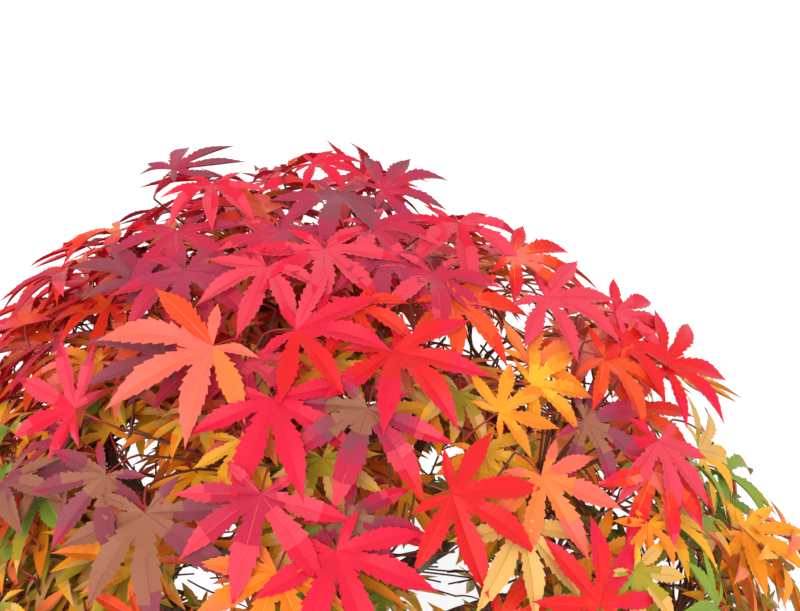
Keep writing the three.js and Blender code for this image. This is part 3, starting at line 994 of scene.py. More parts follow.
def attribute(nodes, name, kind="FLOAT"):
    return nodes.add("GeometryNodeInputNamedAttribute", {"Name": name}, data_type=kind).outputs[0]


def tube_nodes(nodes, lines, sides):
    """Nodes that turn lines of edges into tubes, as thick as each point says."""
    curve = nodes.add("GeometryNodeMeshToCurve", {"Mesh": lines})
    ring = nodes.add("GeometryNodeCurvePrimitiveCircle", {"Resolution": sides, "Radius": 1.0})
    tube = nodes.add("GeometryNodeCurveToMesh", {"Curve": curve, "Profile Curve": ring, "Fill Caps": True})
    nodes.feed(tube.inputs["Scale"], attribute(nodes, "thickness"))
    return nodes.add("GeometryNodeSetShadeSmooth", {"Geometry": tube, "Shade Smooth": True})


def copy_nodes(nodes, points, shapes, placing):
    """Nodes that put a copy of one of a collection's shapes on each point, placed as placing says."""
    both = {"Collection": shapes, "Separate Children": True, "Reset Children": True}
    picked = {"Instance": nodes.add("GeometryNodeCollectionInfo", both), "Pick Instance": True}
    placed = nodes.add("GeometryNodeInstanceOnPoints", {"Points": points, **picked, **placing})
    return nodes.add("GeometryNodeRealizeInstances", {"Geometry": placed})


def twig_tree(bark, young):
    """Twigs and shoots along lines of edges. Points of a shoot have shoot = 1."""
    tree, nodes, given, out = geometry_tree("twigs_along_lines", [("Sides", "Int")])
    tube = tube_nodes(nodes, given.outputs["Geometry"], given.outputs["Sides"])
    solid = nodes.add("GeometryNodeRealizeInstances", {"Geometry": tube})
    old = nodes.add("GeometryNodeSetMaterial", {"Geometry": solid, "Material": bark})
    shoot_is_1 = {2: attribute(nodes, "shoot", "INT"), 3: 1}
    is_shoot = nodes.add("FunctionNodeCompare", shoot_is_1, data_type="INT", operation="EQUAL")
    new = nodes.add("GeometryNodeSetMaterial", {"Geometry": old, "Selection": is_shoot, "Material": young})
    nodes.feed(out.inputs[0], new)
    return tree


def leaf_tree(tints, stalk):
    """Leaves on points and stalks along edges. Each leaf's tints come from its point."""
    wanted = [("Leaf shapes", "Collection"), ("Stalk sides", "Int")]
    tree, nodes, given, out = geometry_tree("leaves_on_sprays", wanted)
    placing = {
        "Selection": attribute(nodes, "is_leaf", "BOOLEAN"),
        "Instance Index": attribute(nodes, "shape", "INT"),
        "Rotation": attribute(nodes, "facing", "QUATERNION"),
        "Scale": attribute(nodes, "size"),
    }
    blades = copy_nodes(nodes, given.outputs["Geometry"], given.outputs["Leaf shapes"], placing)
    tint_number = attribute(nodes, "tint")
    for turn, part in (("palm_turn", "palm"), ("rib_turn", "rib"), ("side_turn", "side")):
        tint_number = multiply_add(nodes, attribute(nodes, turn), attribute(nodes, part), tint_number)
    tint_number = nodes.add("ShaderNodeClamp", {"Value": tint_number, "Max": len(tints) - 1.0})
    for k, tint in enumerate(tints):
        nearest = {0: tint_number, 1: float(k), "Epsilon": 0.5}
        chosen = nodes.add("FunctionNodeCompare", nearest, operation="EQUAL")
        painted = {"Geometry": blades, "Selection": chosen, "Material": tint}
        blades = nodes.add("GeometryNodeSetMaterial", painted)
    tube = tube_nodes(nodes, given.outputs["Geometry"], given.outputs["Stalk sides"])
    both = nodes.add("GeometryNodeJoinGeometry")
    nodes.feed(both.inputs[0], nodes.add("GeometryNodeSetMaterial", {"Geometry": tube, "Material": stalk}))
    nodes.feed(both.inputs[0], blades)
    nodes.feed(out.inputs[0], both)
    return tree


# The most granules that a square metre is tried for, before the ones too close together go
MOST_GRAINS = 400000.0


def grain_tree(material):
    """Granules strewn over a surface, each turned and sized at random from a fixed seed."""
    sizes = [(label, "Float") for label in ("Spacing", "Radius", "Least", "Most")]
    wanted = [("Grains", "Collection"), *sizes, ("Seed", "Int")]
    tree, nodes, given, out = geometry_tree("granules_on_soil", wanted)
    seed = given.outputs["Seed"]
    evenly = {
        "Mesh": given.outputs["Geometry"],
        "Distance Min": given.outputs["Spacing"],
        "Density Max": MOST_GRAINS,
        "Seed": seed,
    }
    strewn = nodes.add("GeometryNodeDistributePointsOnFaces", evenly, distribute_method="POISSON")
    all_ways = {1: (math.tau, math.tau, math.tau), "Seed": seed}
    turned = nodes.add("FunctionNodeRandomValue", all_ways, data_type="FLOAT_VECTOR")
    between = {2: given.outputs["Least"], 3: given.outputs["Most"], "Seed": seed}
    sized = nodes.add("FunctionNodeRandomValue", between, data_type="FLOAT")
    product = {0: sized.outputs[1], 1: given.outputs["Radius"]}
    radius = nodes.add("ShaderNodeMath", product, operation="MULTIPLY")
    placing = {"Rotation": turned.outputs[0], "Scale": radius}
    solid = copy_nodes(nodes, strewn.outputs["Points"], given.outputs["Grains"], placing)
    made = nodes.add("GeometryNodeSetMaterial", {"Geometry": solid, "Material": material})
    nodes.feed(out.inputs[0], made)
    return tree


def shelf(name, objects):
    """A collection of shapes that a tree takes copies of. It isn't in the scene."""
    made = bpy.data.collections.new(name)
    for obj in objects:
        for collection in list(obj.users_collection):
            collection.objects.unlink(obj)
        made.objects.link(obj)
    return made


def clear_shelf(made):
    """Removes a collection and the shapes on it."""
    for obj in list(made.objects):
        bpy.data.objects.remove(obj)
    bpy.data.collections.remove(made)


def drop_values(obj, names):
    """Drops the named values of a mesh that only its tree needed."""
    for name in names:
        if name in obj.data.attributes:
            obj.data.attributes.remove(obj.data.attributes[name])


# Pot and soil


def pot_body():
    """Half lengths of the pot's body at its foot, belly and brim."""
    pot = settings("pot")
    foot, brim = pot.length / 2 * pot.foot_share, pot.length / 2 - pot.lip_out
    return foot, mix(foot, brim, pot.belly_share), brim


def pot_profile():
    """The pot's half lengths and heights, from under its floor over the lip to the floor inside."""
    pot = settings("pot")
    foot, belly, brim = pot_body()
    lip, lip_base = pot.length / 2, pot.height - pot.lip_height
    under = [(0, 0), (foot, 0)]
    outside = [(belly, pot.belly_height), (brim, lip_base), (lip, lip_base), (lip, pot.height)]
    inside = [
        (brim - pot.wall, pot.height),
        (belly - pot.wall, pot.belly_height),
        (foot - pot.wall, pot.floor + pot.cove),
        (foot - pot.wall - pot.cove, pot.floor),
        (0, pot.floor),
    ]
    return rounded(under + outside + inside, pot.rounding)


class MAPLE_OT_pot(Operator):
    """Turns the plain oval pot and bores its two drain holes"""

    bl_idname = "maple.pot"
    bl_label = "Pot"

    def execute(self, context):
        pot = settings("pot")
        obj = turned_oval("pot_of_clay", pot_profile(), pot.sides, pot.width / pot.length)
        bores = []
        for side in (-1, 1):
            bpy.ops.mesh.primitive_cylinder_add(
                vertices=pot.bore_sides,
                radius=pot.drain_radius,
                depth=pot.floor * 3,
                location=(side * pot.drain_spacing / 2, 0, 0),
            )
            bore = context.object
            cut = obj.modifiers.new("drain", "BOOLEAN")
            cut.operation, cut.solver, cut.object = "DIFFERENCE", "EXACT", bore
            bores.append(bore)
        obj = as_plain_mesh(obj, "pot_of_clay")
        for bore in bores:
            bpy.data.objects.remove(bore)
        obj.data.materials.clear()
        obj.data.materials.append(clay_material())
        face_outwards(obj)
        shade_smooth(obj, sharp_angle=40)
        finished(obj, ["pot"])
        return {"FINISHED"}


def soil_profile():
    """The soil from under its floor, up the wall and over the mound."""
    pot, soil = settings("pot"), settings("soil")
    foot, belly, brim = pot_body()
    inset = pot.wall + GAP
    edge_share = (soil.edge - pot.belly_height) / (pot.height - pot.belly_height)
    wall = [
        (0, pot.floor + GAP),
        (foot - inset - pot.cove, pot.floor + GAP),
        (foot - inset, pot.floor + pot.cove + GAP),
        (belly - inset, pot.belly_height + GAP),
        (mix(belly, brim, edge_share) - inset, soil.edge),
    ]
    shoulder = (soil.slope_radius, mix(soil.edge, soil.ground, soil.slope_share))
    mound = [wall[-1], shoulder, (soil.flat_radius, soil.ground), (0, soil.ground)]
    top = []
    for (r0, z0), (r1, z1) in zip(mound, mound[1:]):
        for k in range(1, soil.rings + 1):
            top.append((mix(r0, r1, k / soil.rings), mix(z0, z1, k / soil.rings)))
    return wall + top


# How uneven the mound is, and how fine its humps are
MOUND_HUMPS = 0.7 * MM
HUMPS_PER_METRE = 90

# How much of a granule's radius its dents take, how fine they are, and how flat it is
GRAIN_DENTS = 0.5
DENTS_PER_RADIUS = 0.9
GRAIN_FLATNESS = 0.75


class MAPLE_OT_soil(Operator):
    """Fills the pot with soil and strews granules over its mound"""

    bl_idname = "maple.soil"
    bl_label = "Soil"

    def grains(self):
        """A few rough granules of about unit radius, each with dents of its own."""
        made = []
        for k in range(settings("soil").grain_shapes):
            bpy.ops.mesh.primitive_ico_sphere_add(subdivisions=1, radius=1.0)
            grain = bpy.context.object
            grain.name = f"grain_{k}"
            elsewhere = Vector((9.0 * k, 3.0, 7.0))
            for vertex in grain.data.vertices:
                dent = noise.noise(vertex.co * DENTS_PER_RADIUS + elsewhere)
                vertex.co *= 1.0 + GRAIN_DENTS * dent
                vertex.co.z *= GRAIN_FLATNESS
            made.append(grain)
        return made

    def bed(self):
        pot, soil = settings("pot"), settings("soil")
        bed = turned_oval("soil_bed", soil_profile(), soil.sides, pot.width / pot.length)
        for vertex in bed.data.vertices:
            if vertex.co.z > soil.edge:
                vertex.co.z += MOUND_HUMPS * noise.noise(vertex.co * HUMPS_PER_METRE)
        face_outwards(bed)
        shade_smooth(bed, sharp_angle=50)
        bed.data.materials.append(earth_material("wet_earth", soil.earth_dark, soil.earth_dark))
        return bed

    def upper_side(self, bed):
        """A copy of the mound's faces that look up, for the granules to lie on."""
        top = bed.copy()
        top.data = bed.data.copy()
        bpy.context.scene.collection.objects.link(top)
        lowest = settings("soil").edge - 1 * MM
        with faces_of(top) as work:
            rest = [f for f in work.faces if f.normal.z < 0.5 or f.calc_center_median().z < lowest]
            bmesh.ops.delete(work, geom=rest, context="FACES")
        return top

    def execute(self, context):
        soil = settings("soil")
        bed = self.bed()
        ground = self.upper_side(bed)
        grains = shelf("grains", self.grains())
        tree = grain_tree(earth_material("granule", soil.earth, soil.earth_dark))
        values = {
            "Grains": grains,
            "Spacing": soil.grain_spacing,
            "Radius": soil.grain,
            "Least": soil.grain_least,
            "Most": soil.grain_most,
            "Seed": soil.seed,
        }
        strewn = apply_tree(ground, "soil_granules", tree, values)
        clear_shelf(grains)
        finished(bed, ["soil"])
        finished(strewn, ["soil"])
        return {"FINISHED"}


# Trunk and boughs


# How fine the bark's furrows and knobs are along each axis, and how deep, as shares of its relief
FURROWS_PER_METRE = np.array([120, 120, 20])
FURROW_DEPTH = 0.8
KNOBS_PER_METRE = np.array([34, 34, 22])
KNOB_DEPTH = 1.1

# Finer furrows in the furrows: how fast they fade, how much finer each is, and how many there are
FINER_FURROWS = (0.8, 2.1, 4)

# The radius down to which a limb's relief has its full depth
ROUGH_RADIUS = 12 * MM

# How far a collar reaches from the foot of its bough, as a share of the limb's radius, and at least
COLLAR_SHARE = 1.5
COLLAR_LEAST = 4 * MM

# Roots in the flare: how far they stand out, as a share of it, how many, and where the first one is
ROOTS = [(0.54, 5, 0.6), (0.19, 2, 1.1)]

# How far the trunk's foot goes on into the soil
TRUNK_SUNK = 3 * MM


def bark_relief(paths, swelling):
    """How far the bark stands out at a point: long shallow furrows and knobs, which fade on thin limbs,
    and collars where boughs leave."""
    depth = settings("limbs").relief
    starts = [path.at(0) for name, path in paths.items() if name != "trunk"]

    def at(point, radius):
        fade = min(1.0, radius / ROUGH_RADIUS)
        furrow = noise.fractal(Vector(point * FURROWS_PER_METRE), *FINER_FURROWS)
        knob = noise.noise(Vector(point * KNOBS_PER_METRE))
        near = min(float(np.linalg.norm(point - s)) for s in starts)
        collar = swelling * math.exp(-((near / max(radius * COLLAR_SHARE, COLLAR_LEAST)) ** 2))
        return depth * fade * (FURROW_DEPTH * furrow + KNOB_DEPTH * knob) + collar

    return at


def bark_piece(name, vertices, faces, node_names):
    """A finished piece of bark in place of its solids."""
    obj = new_object(name, vertices, faces)
    face_outwards(obj)
    shade_smooth(obj)
    obj.data.materials.append(bpy.data.materials.get("bark_of_limbs") or bark_material())
    finished(obj, node_names)


class MAPLE_OT_trunk(Operator):
    """Grows the trunk with its root flare, taper and bark"""

    bl_idname = "maple.trunk"
    bl_label = "Trunk"

    def execute(self, context):
        limbs = settings("limbs")
        paths = limb_paths()
        path = paths["trunk"]

        def radius_at(along, turn):
            plain = mix(limbs.foot_radius, limbs.tip_radius, along**limbs.taper)
            flare = limbs.flare * math.exp(-along * path.length / limbs.flare_height)
            roots = sum(out * math.cos(count * turn + first) for out, count, first in ROOTS)
            return plain + flare * (1 + roots)

        relief = bark_relief(paths, limbs.collar)
        rings = limb_rings(path, radius_at, relief, limbs.trunk_sides, limbs.trunk_rings)
        rings = [[p - UP * TRUNK_SUNK for p in rings[0]], *rings]
        bark_piece("trunk_bark", [p for ring in rings for p in ring], rings_to_faces(rings), ["trunk"])
        return {"FINISHED"}


class MAPLE_OT_boughs(Operator):
    """Grows the main boughs out of the trunk and each other"""

    bl_idname = "maple.boughs"
    bl_label = "Boughs"

    def execute(self, context):
        limbs = settings("limbs")
        paths = limb_paths()
        relief = bark_relief(paths, limbs.collar * 0.5)
        vertices, faces, names = [], [], []
        for name, _, _, leaves_at in MASSES:
            if leaves_at is None:
                continue
            foot = limbs.bough_foot if isinstance(leaves_at, float) else limbs.side_bough_foot

            def radius_at(along, turn, foot=foot):
                return mix(foot, limbs.bough_tip, along**limbs.taper)

            rings = limb_rings(paths[name], radius_at, relief, limbs.bough_sides, limbs.bough_rings)
            faces += rings_to_faces(rings, len(vertices))
            vertices += [p for ring in rings for p in ring]
            names.append("bough_" + name)
        bark_piece("boughs_bark", vertices, faces, names)
        return {"FINISHED"}


# Twigs, shoots and the places of the leaves

# What tells the random draws of the front leaves and of the leaf shapes, and the crooks of the shoots of
# sprays and of front leaves, from the others
FRONT_SEED, SHAPE_SEED = 77, 700
SPRAY_SALT, FRONT_SALT = 40.0, 80.0

# Outer and inner sprays: nearest and farthest end of their shoots as shares of the crown, share of the
# twig where the first of them leave it, and how loosely they are spread, in degrees
OUTER_SPRAYS = (0.92, 1.03, 0.98, 30)
INNER_SPRAYS = (0.64, 0.93, 0.6, 60)
TWIG_LOOSENESS = 12

# Leaves of a spray inside the crown
INNER_FULLNESS = 2.2

# Where the leaves of a spray leave its shoot: share of the way along it, swing from downhill in degrees,
# and share of full size
SPRAY_LEAVES = [(1.0, 10, 1.0), (1.0, -95, 0.9), (0.7, 105, 0.9), (0.5, 180, 0.85)]

# How far, in degrees, the leaves of a spray are turned together, and each by itself
SPRAY_TURN = 90
LEAF_TURN = 36

# Share of the leaves that are tilted twice as far as the rest
TILTED_SHARE = 0.15

# How fine the crooks of a twig are, how far a stem starts inside its bough, and how thick it ends
CROOKS_PER_METRE = 60
STEM_SUNK = 4 * MM
STEM_END = 1.1

# How far a shoot runs on along its twig before it bends, as a share of its reach, how crooked it is for a
# twig, how much of a stalk it ends short by, and where the shoots of the front leaves leave their twigs
SHOOT_BEND = 0.45
SHOOT_KINK = 0.5
SHOOT_SHORT = 0.7
FRONT_ROOT = 0.9

# A stalk's least and most length, and shares of it: how far ahead and up the blade starts, and how far up
# and ahead the stalk bends. The front leaves have one length of stalk, and start further up.
STALK_LENGTHS = (0.8, 1.2)
STALK_AHEAD, STALK_UP = 0.8, 0.45
BEND_UP, BEND_AHEAD = 0.4, 0.25
FRONT_STALK, FRONT_STALK_UP = 0.9, 0.5

# How much smaller the later leaves of a spray are
LATER_LEAVES = 0.85

# How much further out a front leaf sits at the foot of the picture than at its top
FRONT_LIFT = 0.05

# Share of the leaves with a palm of another tint, at tint number 0 and from a later one on
TWO_TONED = (0.08, 0.5)
TWO_TONED_FROM = 8

# Least and most turn of the tint on the palm, with two tones and without, on the ribs and to one side
STRONG_PALM, SOFT_PALM = (2.0, 4.5), (-0.6, 1.4)
RIB_TURN, SIDE_TURN = (0.4, 1.2), (-1.0, 1.0)
FRONT_RIB_TURN, FRONT_SIDE_TURN = (0.3, 1.0), (-0.6, 0.6)

# Tint numbers of the sprays. Outside they start on top, and so many are added low down at the back and in
# front, and at the right high up, low down and in front. Inside they run from high up to low down, towards
# gold: partly the inner leaves' own tints, partly painted light that stands in for light through the leaves
# and offsets the shade inside the crown.
TINT_ON_TOP = 3.1
LOW_BEHIND, LOW_IN_FRONT, LOW_CURVE = 3.2, 9.0, 1.6
RIGHT_HIGH, RIGHT_LOW, RIGHT_IN_FRONT = 1.0, 5.0, 4.5
INSIDE_HIGH_GOLD_AND_GLOW, INSIDE_LOW_GOLD_AND_GLOW, INSIDE_FALL, INSIDE_RIGHT = 8.0, 12.9, 2.1, 0.4

# How far tints differ from spray to spray and from leaf to leaf
SPRAY_TINTS = 4.6
LEAF_TINTS = 2.6

# Share of the sprays that turned later, and how many tints they are behind, at most and the lower they are
LATE_SHARE = 0.16
LATE_MOST, LATE_LOW = 5.0, 16

# Share of the sprays at the lower left that are dull, how soon they set in, and their two tint numbers
DULL_SHARE = 0.9
DULL_FALL = 1.5
DULL_TINTS = (0.3, 14.5)

# Where the crown's inside begins, as a share of the crown, and how gradually
INSIDE_BEGINS = 0.97
INSIDE_DEPTH = 0.10

# The share of the crown from which a leaf can hide a front leaf, how far behind it still does, and where
# on their middle lobes the two are measured
HIDING_FROM = 0.88
HIDING_BEHIND = 20 * MM
HIDING_SPOT, FRONT_SPOT = 0.4, 0.35

# How many pixels a leaf may stand out of the outline
OUTLINE_SLACK = 7

# Discs that stand for a lobe: share of the way along it, and radius as a share of the leaf
LOBE_DISCS = [(0.1, 0.10), (0.35, 0.12), (0.6, 0.12), (0.85, 0.06)]


class Lines:
    """Lines of points with a radius at each point, to be made into tubes."""

    def __init__(self):
        self.points, self.edges, self.radii, self.young = [], [], [], []

    def add(self, path, radii, steps, young, kink=0.0, salt=0.0):
        """Adds a path with radii at foot and tip. Another salt gives it other crooks."""
        first = len(self.points)
        for i in range(steps + 1):
            t = i / steps
            place = path.at(t)
            wobble = kink * math.sin(math.pi * t)
            crook = noise.noise_vector(Vector(place) * CROOKS_PER_METRE + Vector((salt, 0, 0)))
            self.points.append(place + wobble * np.array(crook))
            self.radii.append(mix(*radii, t))
            self.young.append(int(young))
            if i:
                self.edges.append((first + i - 1, first + i))


class Spray(NamedTuple):
    """A shoot with a few leaves: where it ends, and the share of its twig that it leaves from."""

    direction: np.ndarray
    out: float
    root: float
    is_inner: bool
    owner: int


class LeafPlace(NamedTuple):
    """Where a leaf's blade starts, how it faces, its size, shape and tints, and its stalk."""

    base: np.ndarray
    facing: Quaternion
    size: float
    shape: int
    tints: list
    stalk: Path

    def spot(self, along):
        """The point at a share of the middle lobe."""
        return self.base + np.array(self.facing @ Vector((along, 0, 0))) * self.size


def facing_of(up, middle):
    """The rotation of a leaf whose upper side looks up and whose middle lobe points along middle."""
    return Matrix((middle, np.cross(up, middle), up)).transposed().to_quaternion()


def stalk_path(node, base, up, middle, stalk):
    """The bow of a stalk from its node on the shoot to the base of its blade."""
    bend = node + up * stalk * BEND_UP + middle * stalk * BEND_AHEAD
    return Path(quadratic(node, bend, base), samples=6)


def all_sprays():
    """The directions of the twigs, as the solids have them, and the sprays of the whole crown."""
    crown, twigs, leaves = settings("crown"), settings("twigs"), settings("leaves")
    draw = seeded(crown.seed)
    twig_directions = spiral(twigs.count, TWIG_LOOSENESS, draw)
    sprays = []
    for is_inner, count, (least, most, root, loose) in (
        (False, leaves.outer, OUTER_SPRAYS),
        (True, leaves.inner, INNER_SPRAYS),
    ):
        for direction in spiral(count, loose, draw):
            flank = max(0.0, direction[0]) * max(0.0, direction[2])
            out = mix(least, most, draw()) * (1 - leaves.settle * flank)
            sprays.append(Spray(direction, out, root, is_inner, owner_of(direction)))
    return twig_directions, sprays


def tint_of(direction, out, draw):
    """The tint number of a spray: fully turned on top, less so low, deep and to the right, and mostly dull
    at the lower left. Deep inside the crown the tints are also paler, as painted light against the shade
    there."""
    low = max(0.0, 1 - float(direction[2]))
    right, left = max(0.0, float(direction[0])), max(0.0, -float(direction[0]))
    front = max(0.0, -float(direction[1]))
    deep = min(1.0, max(0.0, (INSIDE_BEGINS - out) / INSIDE_DEPTH))
    downwards = mix(low * LOW_BEHIND, low**LOW_CURVE * LOW_IN_FRONT, front)
    rightwards = right * mix(RIGHT_HIGH, RIGHT_LOW + front * RIGHT_IN_FRONT, min(1.0, low))
    outside = TINT_ON_TOP + downwards + rightwards
    # Inside the crown: the leaves' own gold, made paler as painted light standing in for light through the
    # leaves
    inside = mix(INSIDE_HIGH_GOLD_AND_GLOW, INSIDE_LOW_GOLD_AND_GLOW, min(1.0, low * INSIDE_FALL)) + right * INSIDE_RIGHT
    late = min(LATE_MOST, low * LATE_LOW) if draw() < LATE_SHARE else 0.0
    if draw() < DULL_SHARE * (left * front * min(1.0, low * DULL_FALL)):
        return DULL_TINTS[0] if draw() < 0.5 else DULL_TINTS[1]
    return mix(outside + late, inside, deep) + (draw() - 0.5) * SPRAY_TINTS


def leaf_facing(direction, swing, draw):
    """The way up of a leaf and the way its middle lobe points."""
    leaves, out = settings("leaves"), outwards(direction)
    loose = np.array([draw() - 0.5, draw() - 0.5, draw() - 0.5]) * leaves.tilt
    loose = loose * (2 if draw() < TILTED_SHARE else 1)
    up = unit(loose + out + UP * leaves.towards_light)
    middle = out - UP * leaves.downhill
    middle = unit(middle - up * float(middle @ up))
    turn = Quaternion(up, math.radians(swing))
    return up, np.array(turn @ Vector(middle))


def grow_leaf(node, spray, swing, reach, tint, draw):
    """A leaf of a spray, from its node on the shoot."""
    leaves = settings("leaves")
    up, middle = leaf_facing(spray.direction, swing, draw)
    stalk = leaves.stalk * mix(*STALK_LENGTHS, draw()) * reach
    base = node + middle * stalk * STALK_AHEAD + up * stalk * STALK_UP
    length = leaves.length * mix(leaves.least, leaves.most, draw()) * mix(LATER_LEAVES, 1.0, reach)
    first, shapes = 0, leaves.shapes
    if spray.is_inner:
        length *= leaves.inner_size
        first, shapes = leaves.shapes, leaves.plain_shapes
    tint = tint + (draw() - 0.5) * LEAF_TINTS
    is_two_toned = draw() < mix(*TWO_TONED, min(1.0, tint / TWO_TONED_FROM))
    palm_turn = mix(*(STRONG_PALM if is_two_toned else SOFT_PALM), draw())
    tints = [min(tint, len(TINTS) - 1.0), palm_turn, mix(*RIB_TURN, draw()), mix(*SIDE_TURN, draw())]
    path = stalk_path(node, base, up, middle, stalk)
    return LeafPlace(base, facing_of(up, middle), length, first + int(draw() * shapes), tints, path)


def front_leaves():
    """The leaves that the picture shows whole and those between them, each after its direction from the
    crown's centre."""
    leaves, view = settings("leaves"), PictureView()
    draw = seeded(settings("crown").seed + FRONT_SEED)
    tint_number = {name: k for k, (name, _) in enumerate(TINTS)}
    grown = []
    rows = [(1.0, row) for row in FRONT_LEAVES] + [(leaves.between, row) for row in LEAVES_BETWEEN]
    for reach, (across, down, turn, share_of_size, tips, palm) in rows:
        reach = SET_BACK.get((across, down), reach)
        base = view.on_crown(across, down, reach + FRONT_LIFT * down / PICTURE[1])
        direction, _ = out_at(base)
        up = unit(outwards(direction) + view.back * leaves.towards_view)
        turn = math.radians(turn)
        middle = view.right * math.cos(turn) - view.up * math.sin(turn)
        middle = unit(middle - view.back * float(middle @ up) / float(view.back @ up))
        stalk = leaves.stalk * FRONT_STALK
        node = base - middle * stalk * STALK_AHEAD - up * stalk * FRONT_STALK_UP
        tints = [tint_number[tips], tint_number[palm] - tint_number[tips]]
        tints += [mix(*FRONT_RIB_TURN, draw()), mix(*FRONT_SIDE_TURN, draw())]
        path = stalk_path(node, base, up, middle, stalk)
        length, shape = leaves.length * share_of_size, int(draw() * leaves.shapes)
        leaf = LeafPlace(base, facing_of(up, middle), length, shape, tints, path)
        if reach > leaves.between or not hides_sky(leaf, view):
            grown.append((direction, leaf))
    return grown


def is_in_the_way(place, out, in_front, view):
    """Whether a leaf near the surface would hide one that the picture shows whole."""
    if out < HIDING_FROM:
        return False
    at, depth = view.pixel(place.spot(HIDING_SPOT))
    for _, leaf in in_front:
        heart, depth_of_leaf = view.pixel(leaf.spot(FRONT_SPOT))
        near = settings("leaves").clearing * leaf.size * view.focus / depth_of_leaf
        if depth < depth_of_leaf + HIDING_BEHIND and np.linalg.norm(at - heart) < near:
            return True
    return False


def is_above_outline(place, view):
    """Whether a leaf stands out of the outline that the picture gives the crown."""
    across, down = zip(*OUTLINE)
    for along in (0.0, 0.5, 1.0):
        at, _ = view.pixel(place.spot(along))
        if at[1] < np.interp(at[0], across, down) - OUTLINE_SLACK:
            return True
    return False


def hides_sky(place, view):
    """Whether a lobe of a leaf crosses a gap where the picture shows the sky."""
    gaps = np.array(SKY_GAPS, dtype=float)
    ahead, beside = (np.array(place.facing @ Vector(axis)) for axis in ((1, 0, 0), (0, 1, 0)))
    for turn, long, _ in LOBES:
        turn = math.radians(turn)
        lobe = (ahead * math.cos(turn) + beside * math.sin(turn)) * place.size * long
        for along, half in LOBE_DISCS:
            at, depth = view.pixel(place.base + lobe * along)
            away = np.hypot(gaps[:, 0] - at[0], gaps[:, 1] - at[1])
            if np.any(away < gaps[:, 2] + half * place.size * view.focus / depth):
                return True
    return False


class Mass:
    """One mass of foliage: its stem, twigs and shoots as lines, and the places of its leaves."""

    def __init__(self, index, twig_directions):
        """Grows the stem and the twigs by the rule of the solids."""
        crown, twigs = settings("crown"), settings("twigs")
        self.index, self.lines, self.twigs, self.places = index, Lines(), [], []
        toward = HEADINGS[index]
        out = outwards(toward)
        foot = in_crown(toward, crown.hollow)
        crutch = foot + out * twigs.stem
        inside = foot - out * STEM_SUNK
        stem = Path(lambda t: mix(inside, crutch, t), samples=4)
        radii = (twigs.stem_radius, twigs.foot_radius * STEM_END)
        self.lines.add(stem, radii, twigs.stem_steps, False)
        own = [d for d in twig_directions if owner_of(d) == index]
        for k, direction in enumerate(own):
            start = mix(crutch, foot, twigs.along * k / len(own))
            end = in_crown(unit(mix(direction, toward, twigs.gather)), twigs.share)
            bow = start + out * np.linalg.norm(end - start) * twigs.bend
            path = Path(quadratic(start, bow, end), samples=24)
            radii = (twigs.foot_radius, twigs.tip_radius)
            self.lines.add(path, radii, twigs.twig_steps, False, twigs.kink, k)
            self.twigs.append((direction, path))

    def nearest_twig(self, direction):
        return int(np.argmax([float(d @ direction) for d, _ in self.twigs]))

    def grow_shoot(self, near, root_share, end, salt):
        """Grows a shoot from a share of the way along a twig to its end."""
        twigs, path = settings("twigs"), self.twigs[near][1]
        root = path.at(root_share)
        bend = root + path.tangent(root_share) * np.linalg.norm(end - root) * SHOOT_BEND
        shoot = Path(quadratic(root, bend, end), samples=16)
        radii = (twigs.shoot_radius, twigs.bud_radius)
        self.lines.add(shoot, radii, twigs.shoot_steps, True, twigs.kink * SHOOT_KINK, salt + near)
        return shoot

    def grow_sprays(self, sprays, in_front, view):
        """Grows the mass's own sprays, without leaves that would hide what the picture shows."""
        crown, twigs, leaves = settings("crown"), settings("twigs"), settings("leaves")
        draw = seeded(crown.seed * 1000 + self.index)
        used = [0] * len(self.twigs)
        for spray in (s for s in sprays if s.owner == self.index):
            near = self.nearest_twig(spray.direction)
            spacing = twigs.spacing / self.twigs[near][1].length
            root_share = max(twigs.first_root, spray.root - used[near] * spacing)
            used[near] += 1
            level = outwards(spray.direction)
            tip = in_crown(spray.direction, spray.out) - level * leaves.stalk * SHOOT_SHORT
            shoot = self.grow_shoot(near, root_share, tip, SPRAY_SALT)
            tint = tint_of(spray.direction, spray.out, draw)
            around = (draw() - 0.5) * SPRAY_TURN
            fewer = leaves.openness * max(0.0, 1 - spray.direction[2])
            fullness = INNER_FULLNESS if spray.is_inner else leaves.fullness - fewer
            for along, swing, reach in SPRAY_LEAVES[: int(fullness + draw())]:
                swing = swing + around + (draw() - 0.5) * LEAF_TURN
                place = grow_leaf(shoot.at(along), spray, swing, reach, tint, draw)
                if out_at(place.spot(1))[1] > crown.edge or is_in_the_way(place, spray.out, in_front, view):
                    continue
                if not (hides_sky(place, view) or is_above_outline(place, view)):
                    self.places.append(place)

    def add_front_leaves(self, in_front):
        """Adds the mass's own leaves in front, each on a shoot of its own."""
        for direction, leaf in in_front:
            if owner_of(direction) == self.index:
                near = self.nearest_twig(direction)
                self.grow_shoot(near, FRONT_ROOT, leaf.stalk.at(0), FRONT_SALT)
                self.places.append(leaf)


# Leaf shapes

# Least and most, over the shapes, of a leaf's fold along its lobes and of its droop, and of the length,
# bend and curl of a lobe
FOLD = (0.35, 0.75)
DROOP = (0.0, 0.2)
LOBE_LENGTH = (0.92, 1.08)
LOBE_BEND = (-0.06, 0.12)
LOBE_CURL = (-0.10, 0.10)

# How far a lobe strays from its turn, in degrees, and how much a drooping leaf draws in
LOBE_STRAY = 8
DRAWN_IN = 0.35

# Where a lobe is widest and where it first leaves the heart, as shares of it, and how drawn out its tip is
WIDEST = 0.52
FIRST = 0.06
DRAWN_OUT = 1.55

# How far along a tooth's tip lies from one step of the rim to the next, how deep the notches between teeth
# are, the least and most size of a tooth, and how much its tip is bent down
TOOTH_PLACE = 0.94
TOOTH_NOTCH = 0.93
TOOTH_SIZES = (0.3, 1.5)
TOOTH_LIFT = 0.9

